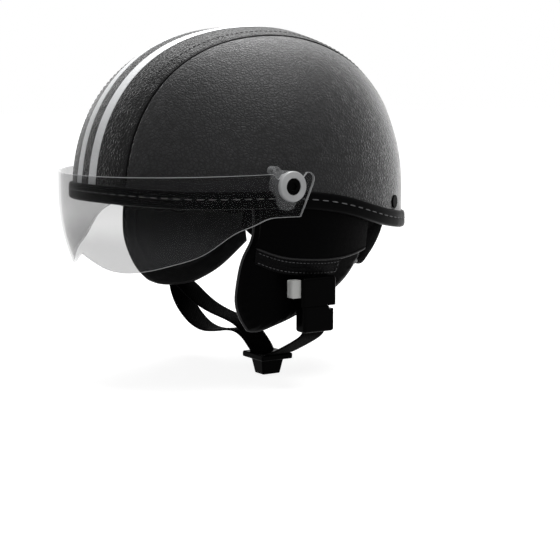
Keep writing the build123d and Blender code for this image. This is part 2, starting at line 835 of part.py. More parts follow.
with BuildPart() as pivot_screw_left:
    with BuildSketch(cross_plane(hub_tip_x + knob_floor)):
        with Locations((pivot_y, pivot_z)):
            Circle(screw_head_radius)
    extrude(amount=screw_head_height)
    with BuildSketch(cross_plane(hub_tip_x + knob_floor + screw_head_height)):
        with Locations((pivot_y, pivot_z)):
            RegularPolygon(screw_recess_radius, 6)
    extrude(amount=-screw_recess_depth, mode=Mode.SUBTRACT)
    with BuildSketch(cross_plane(hub_tip_x + knob_floor)):
        with Locations((pivot_y, pivot_z)):
            Circle(screw_radius)
    extrude(amount=nut_seat_x - nut_flange_thickness - hub_tip_x - knob_floor)
pivot_screw_left.part.label = "pivot_screw_left"
export_step(pivot_screw_left.part, "parts/pivot_screw_left.step")

with BuildPart() as pivot_nut_left:
    with BuildSketch(cross_plane(nut_seat_x)):
        with Locations((pivot_y, pivot_z)):
            Circle(nut_barrel_radius)
    extrude(amount=nut_tip_x - nut_seat_x)
    with BuildSketch(cross_plane(nut_seat_x)):
        with Locations((pivot_y, pivot_z)):
            Circle(nut_flange_radius)
    extrude(amount=-nut_flange_thickness)
    add(cross_bore(screw_radius + bond_gap), mode=Mode.SUBTRACT)
pivot_nut_left.part.label = "pivot_nut_left"
export_step(pivot_nut_left.part, "parts/pivot_nut_left.step")

for left_piece, name in (
    (visor_base_left, "visor_base_right"),
    (washer_left, "washer_right"),
    (knob_left, "knob_right"),
    (pivot_screw_left, "pivot_screw_right"),
    (pivot_nut_left, "pivot_nut_right"),
):
    with BuildPart() as right_piece:
        add(mirror(left_piece.part, about=Plane.YZ, mode=Mode.PRIVATE))
    right_piece.part.label = name
    export_step(right_piece.part, f"parts/{name}.step")

# Strap rivets with their washers, one pair on each rear side

with BuildPart(rivet_plane) as strap_rivets:
    Cylinder(rivet_head_radius, rivet_head_height, align=(Align.CENTER, Align.CENTER, Align.MIN))
    fillet(strap_rivets.edges().sort_by(SortBy.LENGTH)[-1:], rivet_hole_clearance)
    rivet_length = rivet_seat_depth + rivet_washer_thickness
    Cylinder(rivet_shank_radius, rivet_length, align=(Align.CENTER, Align.CENTER, Align.MAX))
    mirror(about=Plane.YZ)
strap_rivets.part.label = "strap_rivets"
export_step(strap_rivets.part, "parts/strap_rivets.step")

with BuildPart(rivet_plane.offset(-rivet_seat_depth)) as rivet_washers:
    Cylinder(rivet_washer_radius, rivet_washer_thickness, align=(Align.CENTER, Align.CENTER, Align.MAX))
    Cylinder(rivet_shank_radius + bond_gap, notch_floor, mode=Mode.SUBTRACT)
    mirror(about=Plane.YZ)
rivet_washers.part.label = "rivet_washers"
export_step(rivet_washers.part, "parts/rivet_washers.step")

# Press stud at the back: a metal ring round a black cap

with BuildPart(stud_seat_plane) as stud_ring:
    Cylinder(stud_ring_radius, stud_seat_sink + stud_ring_proud, align=(Align.CENTER, Align.CENTER, Align.MIN))
    Cylinder(stud_ring_bore_radius, 2 * stud_ring_radius, mode=Mode.SUBTRACT)
    fillet(stud_ring.faces().sort_by(Axis.Y)[-1].edges(), stud_ring_proud / 2)
stud_ring.part.label = "stud_ring"
export_step(stud_ring.part, "parts/stud_ring.step")

with BuildPart(stud_seat_plane) as stud_cap:
    Cylinder(stud_cap_radius, stud_seat_sink + stud_cap_proud, align=(Align.CENTER, Align.CENTER, Align.MIN))
    fillet(stud_cap.faces().sort_by(Axis.Y)[-1].edges(), stud_cap_proud / 2)
    shank_length = shell_inner_inset * rear_share - stud_seat_sink
    Cylinder(stud_shank_radius, shank_length, align=(Align.CENTER, Align.CENTER, Align.MAX))
stud_cap.part.label = "stud_cap"
export_step(stud_cap.part, "parts/stud_cap.step")

# Buckle on the left side: the housing hangs from the yoke and holds the button, its pawl and spring


def yoke_pocket():
    """The pocket in the back of a strap fitting on the left side, shaped to the foot of the yoke."""
    with BuildPart() as pocket:
        add(flap_layer(webbing_inset, buckle_depth))
        with BuildSketch(Plane.YZ):
            with Locations((strap_y, yoke_foot_z - strap_slot_gap)):
                Rectangle(webbing_slot_width, wall_drop, align=(Align.CENTER, Align.MIN))
        extrude(amount=overrun, mode=Mode.INTERSECT)
    return pocket.part


with BuildPart() as buckle_housing:
    with Locations((buckle_x, strap_y, buckle_top_z)):
        Box(buckle_depth, buckle_width, buckle_height, align=(Align.CENTER, Align.CENTER, Align.MAX))
    top_edges = buckle_housing.faces().sort_by(Axis.Z)[-1].edges()
    fillet(buckle_housing.edges().filter_by(Axis.Z) + top_edges, buckle_round)
    with Locations((cavity_back_x, strap_y, buckle_low_z)):
        Box(
            cavity_depth,
            cavity_width,
            buckle_height - buckle_roof,
            align=(Align.MIN, Align.CENTER, Align.MIN),
            mode=Mode.SUBTRACT,
        )
    with Locations((cavity_back_x, button_face_y, button_mid_z)):
        Box(
            cavity_depth,
            button_length + button_travel + button_clearance,
            button_height + 2 * button_clearance,
            align=(Align.MIN, Align.MIN, Align.CENTER),
            mode=Mode.SUBTRACT,
        )
    add(yoke_pocket(), mode=Mode.SUBTRACT)
buckle_housing.part.label = "buckle_housing"
export_step(buckle_housing.part, "parts/buckle_housing.step")

with BuildPart() as release_button:
    with Locations((cavity_back_x + cavity_depth / 2, button_face_y, button_mid_z)):
        Box(
            cavity_depth - 2 * button_clearance,
            button_length,
            button_height,
            align=(Align.CENTER, Align.MIN, Align.CENTER),
        )
    fillet(release_button.faces().sort_by(Axis.Y)[0].edges(), button_round)
release_button.part.label = "release_button"
export_step(release_button.part, "parts/release_button.step")

with BuildPart() as latch_pawl:
    with Locations((pawl_x, pawl_tip_y, button_mid_z)):
        Box(pawl_thickness, pawl_length, pawl_height, align=(Align.MIN, Align.MAX, Align.CENTER))
        Box(tongue_thickness, tooth_length, tooth_height, align=(Align.MAX, Align.MAX, Align.CENTER))
latch_pawl.part.label = "latch_pawl"
export_step(latch_pawl.part, "parts/latch_pawl.step")

with BuildPart() as button_spring:
    leaf_start_y = pawl_tip_y + leaf_gap
    leaf_end_y = strap_y + cavity_width / 2 - leaf_gap
    leaf_x = pawl_x + leaf_thickness
    with BuildSketch(Plane.XY.offset(button_mid_z - leaf_height / 2)):
        with BuildLine():
            crest = (leaf_x + leaf_bow, (leaf_start_y + leaf_end_y) / 2)
            ThreePointArc((leaf_x, leaf_start_y), crest, (leaf_x, leaf_end_y))
        trace(line_width=leaf_thickness)
    extrude(amount=leaf_height)
button_spring.part.label = "button_spring"
export_step(button_spring.part, "parts/button_spring.step")

with BuildPart() as buckle_tongue:
    with Locations((buckle_x, strap_y, tongue_top_z)):
        Box(tongue_depth, tongue_width, tongue_block_height, align=(Align.CENTER, Align.CENTER, Align.MAX))
    low_edges = buckle_tongue.faces().sort_by(Axis.Z)[0].edges()
    fillet(buckle_tongue.edges().filter_by(Axis.Z) + low_edges, buckle_round)
    with Locations((buckle_x, strap_y + tongue_width / 2, tongue_top_z)):
        Box(
            tongue_depth,
            tongue_notch_length,
            tongue_notch_height,
            align=(Align.CENTER, Align.MAX, Align.MAX),
            mode=Mode.SUBTRACT,
        )
    with Locations((buckle_x, strap_y, tongue_low_z)):
        Box(
            webbing_slot,
            webbing_slot_width,
            strap_slot_depth,
            align=(Align.CENTER, Align.CENTER, Align.MIN),
            mode=Mode.SUBTRACT,
        )
    with BuildSketch(Plane.YZ.offset(cavity_back_x + tongue_inset)):
        prong_y = fork_half_width - prong_width / 2
        with Locations((strap_y - prong_y, tongue_top_z), (strap_y + prong_y, tongue_top_z)):
            RectangleRounded(prong_width, 2 * tongue_reach, prong_round)
        with Locations((strap_y, tongue_top_z)):
            Rectangle(buckle_width, 2 * tongue_reach, align=(Align.CENTER, Align.MAX), mode=Mode.SUBTRACT)
    extrude(amount=tongue_thickness)
buckle_tongue.part.label = "buckle_tongue"
export_step(buckle_tongue.part, "parts/buckle_tongue.step")

# Strap adjuster on the right side, modelled on the left and mirrored

with BuildPart() as adjuster_left:
    with Locations((buckle_x, strap_y, buckle_top_z)):
        Box(adjuster_depth, adjuster_width, adjuster_height, align=(Align.CENTER, Align.CENTER, Align.MAX))
    fillet(adjuster_left.edges(), adjuster_round)
    with BuildSketch(Plane.XZ):
        with Locations((buckle_x, adjuster_low_z + adjuster_hole_rise)):
            Circle(adjuster_hole_radius)
    extrude(amount=adjuster_width + adjuster_depth, both=True, mode=Mode.SUBTRACT)
    with Locations((buckle_x, strap_y, adjuster_low_z)):
        Box(
            webbing_slot + run_spacing,
            webbing_slot_width,
            strap_slot_depth,
            align=(Align.CENTER, Align.CENTER, Align.MIN),
            mode=Mode.SUBTRACT,
        )
    add(yoke_pocket(), mode=Mode.SUBTRACT)

with BuildPart() as strap_adjuster:
    add(mirror(adjuster_left.part, about=Plane.YZ, mode=Mode.PRIVATE))
strap_adjuster.part.label = "strap_adjuster"
export_step(strap_adjuster.part, "parts/strap_adjuster.step")

# Chin slider and the three runs of webbing that meet in its slots

with BuildPart() as chin_slider:
    with Locations((slider_x, strap_y, slider_top_z)):
        Box(slider_length, slider_width, slider_thickness, align=(Align.CENTER, Align.CENTER, Align.MAX))
    fillet(chin_slider.edges(), slider_round)
    slots = [(slider_x + shift, strap_y, slider_top_z) for shift in (-slot_offset, slot_offset)]
    with Locations(*slots):
        Box(slider_slot_width, webbing_slot_width, 2 * slider_thickness, mode=Mode.SUBTRACT)
    with BuildSketch(Plane.XY.offset(slider_low_z)):
        with Locations((slider_x, strap_y)):
            RectangleRounded(grip_length, grip_width, grip_round)
    with BuildSketch(Plane.XY.offset(slider_low_z - grip_height)):
        with Locations((slider_x, strap_y)):
            RectangleRounded(grip_length - 2 * grip_taper, grip_width - 2 * grip_taper, grip_round)
    loft()
    fillet(chin_slider.faces().sort_by(Axis.Z)[0].edges(), grip_round / 2)
chin_slider.part.label = "chin_slider"
export_step(chin_slider.part, "parts/chin_slider.step")


def bend_radii(route):
    """The radius at each corner of a route that leaves a tenth of the shorter run straight."""
    radii = []
    for before, corner, after in zip(route, route[1:], route[2:]):
        arriving, leaving = Vector(*corner) - Vector(*before), Vector(*after) - Vector(*corner)
        half_turn = math.radians(arriving.get_angle(leaving)) / 2
        radii.append(bend_share * min(arriving.length, leaving.length) / math.tan(half_turn))
    return radii


def webbing_run(start, end, run_shares):
    """A run of webbing that leaves one fitting downwards and enters another from above."""
    span_x, span_z = end[0] - start[0], end[1] - start[1]
    start_x, start_z = start
    between = [(start_x + x_share * span_x, start_z + z_share * span_z) for x_share, z_share in run_shares]
    route = [start, *between, end]
    with BuildPart() as run:
        with BuildSketch(Plane.XZ.offset(-strap_y)):
            with BuildLine():
                FilletPolyline(*route, radius=bend_radii(route))
            trace(line_width=webbing_thickness)
        extrude(amount=webbing_width / 2, both=True)
    return run.part


run_top_z = adjuster_low_z + strap_slot_depth - strap_slot_gap
run_end_z = slider_top_z - slider_thickness / 2
run_half_gap = run_spacing / 2

with BuildPart() as chin_strap_left:
    left_start = (buckle_x, tongue_low_z + strap_slot_depth - strap_slot_gap)
    add(webbing_run(left_start, (slider_x + slot_offset, run_end_z), left_run_shares))
chin_strap_left.part.label = "chin_strap_left"
export_step(chin_strap_left.part, "parts/chin_strap_left.step")

with BuildPart() as chin_strap_right:
    right_start = (run_half_gap - buckle_x, run_top_z)
    add(webbing_run(right_start, (slider_x - slot_offset + run_half_gap, run_end_z), right_run_shares))
chin_strap_right.part.label = "chin_strap_right"
export_step(chin_strap_right.part, "parts/chin_strap_right.step")

with BuildPart() as chin_strap_tail:
    tail_start = (-run_half_gap - buckle_x, run_top_z)
    add(webbing_run(tail_start, (slider_x - slot_offset - run_half_gap, run_end_z), tail_run_shares))
chin_strap_tail.part.label = "chin_strap_tail"
export_step(chin_strap_tail.part, "parts/chin_strap_tail.step")
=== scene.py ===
"""Looks of a half shell motorcycle helmet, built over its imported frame.

Sizes are in millimetres in the frame's own directions: +X the wearer's left, -Y the brow, +Z up. A mesh becomes
metres when it is made. Every surface is a numpy grid worked out from a formula, given in its docstring.
"""

import logging
import math
from collections.abc import Callable
from dataclasses import dataclass, field
from enum import Enum

import bpy
import numpy as np
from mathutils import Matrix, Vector


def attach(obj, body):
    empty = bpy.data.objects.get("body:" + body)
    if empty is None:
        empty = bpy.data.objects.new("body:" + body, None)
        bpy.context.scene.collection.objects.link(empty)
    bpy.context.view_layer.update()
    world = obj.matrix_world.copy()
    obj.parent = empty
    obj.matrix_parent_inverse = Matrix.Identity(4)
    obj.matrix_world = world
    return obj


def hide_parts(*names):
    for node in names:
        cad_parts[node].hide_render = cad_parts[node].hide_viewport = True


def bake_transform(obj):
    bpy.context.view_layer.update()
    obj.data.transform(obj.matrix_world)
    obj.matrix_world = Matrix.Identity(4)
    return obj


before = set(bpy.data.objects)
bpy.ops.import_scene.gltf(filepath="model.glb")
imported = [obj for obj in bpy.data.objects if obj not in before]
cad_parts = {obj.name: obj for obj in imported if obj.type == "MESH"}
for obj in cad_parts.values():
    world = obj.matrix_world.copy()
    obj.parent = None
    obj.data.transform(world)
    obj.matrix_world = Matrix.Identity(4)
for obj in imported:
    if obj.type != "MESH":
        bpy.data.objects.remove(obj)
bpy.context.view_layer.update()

LOG = logging.getLogger("helmet")
MM = 0.001
ALL_SMOOTH = 180.0
LEVELLED = np.array([1.0, 1.0, 0.0])

Array = np.ndarray
Rule = Callable[[Array], Array]
Piece = bpy.types.Object
Socket = bpy.types.NodeSocket


class Side(Enum):
    """The wearer's side that a piece sits on, as the sign of its X."""

    LEFT = 1
    RIGHT = -1

    @property
    def word(self) -> str:
        """The side's name as the nodes write it."""
        return self.name.lower()


class Space(Enum):
    """The coordinates that a pattern follows."""

    OBJECT = "Object"
    CLOTH = "UV"

class Rib(Enum):
    """The way that ribs follow one another, as the wave node names it."""

    ACROSS = "X"
    ALONG = "Y"
    SLANTED = "DIAGONAL"


class Join(Enum):
    """Ways to make one value of two, as the math node names them."""

    SUM = "ADD"
    PRODUCT = "MULTIPLY"
    LARGER = "MAXIMUM"


# ---------------------------------------------------------------- curves and grids


def natural_spline(knots: Array, values: Array, at: Array) -> Array:
    """Natural cubic spline: second derivatives solve the tridiagonal system, zero at both ends.

    Args:
        knots: rising parameters, one for each value.
        values: numbers or points that the spline goes through.
        at: parameters to evaluate at.

    Returns:
        The spline's numbers or points at these parameters.
    """
    knots, values, at = (np.asarray(x, float) for x in (knots, values, at))
    spans = np.diff(knots)
    system = np.eye(len(knots))
    rows = np.arange(1, len(knots) - 1)
    system[rows, rows - 1] = spans[:-1]
    system[rows, rows] = 2 * (spans[:-1] + spans[1:])
    system[rows, rows + 1] = spans[1:]
    wide = values.reshape(len(knots), -1)
    right = np.zeros_like(wide)
    right[1:-1] = 6 * np.diff(np.diff(wide, axis=0) / spans[:, None], axis=0)
    second = np.linalg.solve(system, right)
    flat = at.ravel()
    cell = np.clip(np.searchsorted(knots, flat) - 1, 0, len(knots) - 2)
    past, left, width = (flat - knots[cell])[:, None], (knots[cell + 1] - flat)[:, None], spans[cell][:, None]
    found = (second[cell] * left**3 + second[cell + 1] * past**3) / (6 * width)
    found += (wide[cell] / width - second[cell] * width / 6) * left
    found += (wide[cell + 1] / width - second[cell + 1] * width / 6) * past
    return found.reshape(at.shape + values.shape[1:])


def curve_through(points: Array, at: Array) -> Array:
    """Natural spline through points, with the chord length as its parameter, scaled to 0 to 1.

    Args:
        points: the points, in order.
        at: parameters from 0 to 1.

    Returns:
        Points on the curve.
    """
    points = np.asarray(points, float)
    reach = arc_lengths(points)
    return natural_spline(reach / reach[-1], points, at)


def held_spline(pairs: Array, at: Array) -> Array:
    """Natural spline of each pair's second number over its first, held still past its ends.

    Args:
        pairs: parameters and values, the parameters rising.
        at: parameters to evaluate at.

    Returns:
        The values at these parameters.
    """
    knots, values = np.asarray(pairs, float).T
    return natural_spline(knots, values, np.clip(at, knots[0], knots[-1]))


def hung_curve(points: Array, at: Array) -> Array:
    """Clamped quadratic B-spline: each point pulls the curve, which touches its legs at their middles.

    Args:
        points: the control points, in order.
        at: parameters from 0 to 1.

    Returns:
        Points on the curve.
    """
    points = np.asarray(points, float)
    spans = len(points) - 2
    place = np.clip(np.asarray(at, float) * spans, 0, spans - 1e-9)
    cell = place.astype(int)
    rest = (place - cell)[:, None]
    before = np.where((cell == 0)[:, None], points[cell], (points[cell] + points[cell + 1]) / 2)
    after = np.where((cell == spans - 1)[:, None], points[cell + 2], (points[cell + 1] + points[cell + 2]) / 2)
    return (1 - rest) ** 2 * before + 2 * rest * (1 - rest) * points[cell + 1] + rest**2 * after


def arc_lengths(path: Array) -> Array:
    """Distance along a path at each of its points."""
    return np.concatenate([[0], np.cumsum(np.linalg.norm(np.diff(path, axis=0), axis=1))])


def evenly(path: Array, pitch: float, margin: float = 0.0) -> tuple[Array, Array]:
    """Places at an even pitch along a path, each between the points a glance ahead and a glance behind.

    Args:
        path: dense points of the path.
        pitch: wanted distance between places.
        margin: length left free at each end.

    Returns:
        The places and the unit direction at each.
    """
    glance = 0.3
    reach = arc_lengths(path)
    count = max(int((reach[-1] - 2 * margin) / pitch), 1)
    at = margin + (np.arange(count) + 0.5) * (reach[-1] - 2 * margin) / count
    ahead = np.stack([np.interp(at + glance, reach, path[:, i]) for i in range(3)], axis=1)
    behind = np.stack([np.interp(at - glance, reach, path[:, i]) for i in range(3)], axis=1)
    return (ahead + behind) / 2, unit(ahead - behind)


def unit(vectors: Array) -> Array:
    """Vectors over their lengths."""
    return vectors / np.maximum(np.linalg.norm(vectors, axis=-1, keepdims=True), 1e-9)


def halve(test: Rule, low: Array, high: Array) -> Array:
    """Finds where a test crosses from negative to positive, by halving whole arrays of spans.

    Args:
        test: gives a signed number for each entry.
        low: entries where the test is negative.
        high: entries where it is positive.

    Returns:
        The crossing for each entry.
    """
    halvings = 40
    low, high = np.array(low, float), np.array(high, float)
    for _ in range(halvings):
        middle = (low + high) / 2
        under = test(middle) < 0
        low, high = np.where(under, middle, low), np.where(under, high, middle)
    return (low + high) / 2


def stops(count: int, edge: float = 0.004) -> Array:
    """Parameters from 0 to 1 with one extra stop close to each end, so that an edge shades crisply."""
    return np.concatenate([[0, edge], np.linspace(0, 1, count)[1:-1], [1 - edge, 1]])


def crowded(count: int) -> Array:
    """Parameters from 0 to 1 that crowd at both ends as a cosine does."""
    return (1 - np.cos(np.linspace(0, math.pi, count))) / 2


def round_over(away: Array, width: float) -> Array:
    """Rises from 0 at an edge to 1 at a width from it, as a quarter ellipse does."""
    return np.sqrt(1 - (1 - np.clip(away / width, 0, 1)) ** 2)


def bell(offset: Array, width: float) -> Array:
    """A bump of height 1: exp(-(offset / width)^2)."""
    return np.exp(-((offset / width) ** 2))


def grid_normals(grid: Array, outward: Array) -> Array:
    """Unit normals of a grid: the cross product of its two gradients, turned to the outward side.

    Args:
        grid: rows by columns of points.
        outward: a vector, or one for each point, that the normals agree with.

    Returns:
        A normal for each point.
    """
    found = unit(np.cross(np.gradient(grid, axis=0), np.gradient(grid, axis=1)))
    return found * np.where(np.sum(found * outward, axis=-1, keepdims=True) < 0, -1, 1)


def border_distance(points: Array, border: Array) -> Array:
    """Least distance from each point to the points of a border, as one broadcast.

    Args:
        points: any array of points.
        border: dense points of the border.

    Returns:
        The distances, shaped as the points.
    """
    flat = points.reshape(-1, 3).astype(np.float32)
    edge = border.reshape(-1, 3).astype(np.float32)
    squares = np.sum(flat**2, axis=1)[:, None] + np.sum(edge**2, axis=1)[None] - 2 * flat @ edge.T
    return np.sqrt(np.maximum(squares.min(axis=1), 0)).reshape(points.shape[:-1])


def grid_border(grid: Array) -> Array:
    """The outline of a grid as one run of points."""
    return np.concatenate([grid[0], grid[:, -1], grid[-1, ::-1], grid[::-1, 0]])


def hanging_edge(grid: Array, fore: int, aft: int) -> Array:
    """The edge of a grid down its first column, along its last row and up its last column.

    Args:
        grid: rows by columns of points or normals.
        fore: the row where the edge starts.
        aft: the row where it ends.

    Returns:
        The edge as one run.
    """
    return np.concatenate([grid[fore:, 0], grid[-1, 1:-1], grid[: aft - 1 : -1, -1]])


# ---------------------------------------------------------------- meshes


def quads(indices: Array) -> Array:
    """Quads between neighbouring rows and columns of an index grid."""
    a, b, c, d = indices[:-1, :-1], indices[:-1, 1:], indices[1:, 1:], indices[1:, :-1]
    return np.stack([a, b, c, d], axis=-1).reshape(-1, 4)


def wrapped(indices: Array) -> Array:
    """An index grid with its first column once more at its end, so that each row closes."""
    return np.concatenate([indices, indices[:, :1]], axis=1)


def cloth_pairs(first: Array, second: Array) -> Array:
    """Cloth coordinates of a grid's points in order, from two arrays that broadcast over the grid."""
    return np.stack(np.broadcast_arrays(first, second), axis=-1).reshape(-1, 2)


@dataclass
class Build:
    """A mesh on its way: its points in millimetres, faces, cloth coordinates and the material of each face."""

    points: Array
    faces: list[list[int]]
    cloth: Array | None = None
    finishes: Array | None = None

    def enclosed(self) -> float:
        """Signed volume: the sum over fans of each face of the triple product, a sixth each.

        Returns:
            Cubic millimetres, below zero where the faces point inwards.
        """
        total = 0.0
        for sides in {len(face) for face in self.faces}:
            rings = self.points[np.array([face for face in self.faces if len(face) == sides])]
            for k in range(1, sides - 1):
                total += float(np.sum(rings[:, 0] * np.cross(rings[:, k], rings[:, k + 1]))) / 6
        return total

    def piece(self, name: str, sharp: float = 50.0) -> Piece:
        """Makes the object, in metres, with its faces turned outwards.

        Args:
            name: the piece's name.
            sharp: edges that turn by more than this many degrees shade as edges.

        Returns:
            The linked object.
        """
        faces = self.faces if self.enclosed() > 0 else [face[::-1] for face in self.faces]
        mesh = bpy.data.meshes.new(name)
        mesh.from_pydata((self.points * MM).tolist(), [], faces)
        if self.cloth is not None:
            corners = np.empty(len(mesh.loops), np.int32)
            mesh.loops.foreach_get("vertex_index", corners)
            layer = mesh.uv_layers.new(name="cloth")
            layer.data.foreach_set("uv", (self.cloth[corners] * MM).astype(np.float32).ravel())
        if self.finishes is not None:
            mesh.polygons.foreach_set("material_index", self.finishes.astype(np.int32))
        mesh.shade_smooth()
        if sharp < ALL_SMOOTH:
            mesh.set_sharp_from_angle(angle=math.radians(sharp))
        mesh.update()
        made = bpy.data.objects.new(name, mesh)
        bpy.context.scene.collection.objects.link(made)
        return made


def cloth_grid(grid: Array) -> Array:
    """Cloth coordinates of a grid: the run along its middle row, and down its middle column.

    Args:
        grid: rows by columns of points.

    Returns:
        Two coordinates for each point, in millimetres.
    """
    rows, columns = grid.shape[:2]
    along = arc_lengths(grid[rows // 2])
    down = arc_lengths(grid[:, columns // 2])
    return np.stack(np.broadcast_arrays(along[None, :], down[:, None]), axis=-1)


def slab(outer: Array, inner: Array, painted_edge: bool = False) -> Build:
    """A wall between two grids, closed by strips along its four borders.

    Args:
        outer: rows by columns of points.
        inner: the same for the other face.
        painted_edge: whether the strips and the faces beside them take the second finish.

    Returns:
        The mesh.
    """
    rows, columns = outer.shape[:2]
    front = np.arange(rows * columns).reshape(rows, columns)
    back = front + rows * columns
    faces = [quads(front), quads(back)[:, ::-1]]
    for a, b in ((front[0], back[0]), (back[-1], front[-1]), (back[:, 0], front[:, 0]), (front[:, -1], back[:, -1])):
        faces.append(quads(np.stack([b, a])))
    cloth = cloth_grid(outer).reshape(-1, 2)
    points = np.concatenate([outer.reshape(-1, 3), inner.reshape(-1, 3)])
    finishes = None
    # On the visor the border's second finish is a pale painted highlight.
    if painted_edge:
        rim = np.ones((rows - 1, columns - 1), int)
        rim[1:-1, 1:-1] = 0
        finishes = np.concatenate([rim.ravel(), rim.ravel(), np.ones(2 * (rows + columns - 2), int)])
    return Build(points, np.concatenate(faces).tolist(), np.concatenate([cloth, cloth]), finishes)


def pillow(front_side: Array, back_side: Array) -> Build:
    """A padded form: two grids that share their border, the first face's finish 0 and the other's 1.

    Args:
        front_side: rows by columns of points.
        back_side: the same for the other face; its border is the first one's.

    Returns:
        The mesh.
    """
    rows, columns = front_side.shape[:2]
    front = np.arange(rows * columns).reshape(rows, columns)
    back = front.copy()
    back[1:-1, 1:-1] = rows * columns + np.arange((rows - 2) * (columns - 2)).reshape(rows - 2, columns - 2)
    faces = np.concatenate([quads(front), quads(back)[:, ::-1]])
    cloth = cloth_grid(front_side)
    points = np.concatenate([front_side.reshape(-1, 3), back_side[1:-1, 1:-1].reshape(-1, 3)])
    coordinates = np.concatenate([cloth.reshape(-1, 2), cloth[1:-1, 1:-1].reshape(-1, 2)])
    return Build(points, faces.tolist(), coordinates, np.repeat([0, 1], len(faces) // 2))


def sweep(path: Array, up: Array, profile: Array) -> Build:
    """A profile carried along a path: point = path + side * profile x + up * profile y.

    Args:
        path: points of the path.
        up: a direction at each point of the path.
        profile: closed outline as pairs, or one outline for each point of the path.

    Returns:
        The mesh, its ends closed.
    """
    ahead = unit(np.gradient(path, axis=0))
    up = unit(up - np.sum(up * ahead, axis=1, keepdims=True) * ahead)
    side = np.cross(ahead, up)
    outline = np.broadcast_to(profile, (len(path),) + profile.shape[-2:])
    grid = path[:, None] + side[:, None] * outline[..., :1] + up[:, None] * outline[..., 1:]
    steps, around = grid.shape[:2]
    faces = quads(wrapped(np.arange(steps * around).reshape(steps, around))).tolist()
    faces += [list(range(around - 1, -1, -1)), list(range((steps - 1) * around, steps * around))]
    girth = np.linspace(0, arc_lengths(outline[0])[-1], around)
    return Build(grid.reshape(-1, 3), faces, cloth_pairs(girth[None, :], arc_lengths(path)[:, None]))


def hoop(grid: Array, first: Array, second: Array) -> Build:
    """Sections set round a closed path: each section closes, and the last one meets the first.

    Args:
        grid: sections by points of a section.
        first: one cloth coordinate, which broadcasts over the grid.
        second: the other one.

    Returns:
        The mesh.
    """
    rows, columns = grid.shape[:2]
    indices = wrapped(np.arange(rows * columns).reshape(rows, columns))
    faces = quads(np.concatenate([indices, indices[:1]])).tolist()
    return Build(grid.reshape(-1, 3), faces, cloth_pairs(first, second))


def ring_of(radius: float, sides: int = 10) -> Array:
    """A circle as a closed outline."""
    turn = np.arange(sides) * 2 * math.pi / sides
    return np.stack([np.cos(turn), np.sin(turn)], axis=1) * radius


def bead(path: Array, up: Array, radius: float) -> Build:
    """A round cord of piping along a path, which narrows at its ends as a half circle does.

    Args:
        path: points of the path.
        up: a direction at each point.
        radius: the cord's radius.

    Returns:
        The mesh.
    """
    tip_share = math.sqrt(0.06)
    reach = arc_lengths(path)
    swell = np.maximum(round_over(np.minimum(reach, reach[-1] - reach), radius), tip_share)
    return sweep(path, up, ring_of(radius)[None] * swell[:, None, None])


def stitch_row(places: Array, ahead: Array, up: Array, length: float, radius: float) -> Build:
    """Threads of a stitch row: one small capsule, repeated at every place and leaning along the row.

    Args:
        places: middle of each stitch.
        ahead: unit direction of each stitch.
        up: direction away from the leather.
        length: length of a stitch.
        radius: radius of the thread.

    Returns:
        One mesh of all stitches.
    """
    up = unit(up - np.sum(up * ahead, axis=1, keepdims=True) * ahead)
    side = np.cross(ahead, up)
    run = np.array([-0.5, -0.4, -0.15, 0.15, 0.4, 0.5]) * length
    thick = np.array([0.25, 0.8, 1.0, 1.0, 0.8, 0.25]) * radius
    lift = np.array([-0.9, -0.2, 0.15, 0.15, -0.2, -0.9]) * radius
    circle = ring_of(1.0, 6)
    grid = (
        places[:, None, None]
        + ahead[:, None, None] * run[None, :, None, None]
        + side[:, None, None] * (thick[:, None] * circle[None, :, 0])[None, ..., None]
        + up[:, None, None] * (thick[:, None] * circle[None, :, 1] + lift[:, None])[None, ..., None]
    )
    one = np.arange(run.size * len(circle)).reshape(run.size, -1)
    starts = (np.arange(len(places)) * one.size)[:, None, None]
    faces = (quads(wrapped(one))[None] + starts).reshape(-1, 4).tolist()
    faces += (np.stack([one[0, ::-1], one[-1]])[None] + starts).reshape(-1, len(circle)).tolist()
    return Build(grid.reshape(-1, 3), faces)


# ---------------------------------------------------------------- finishes


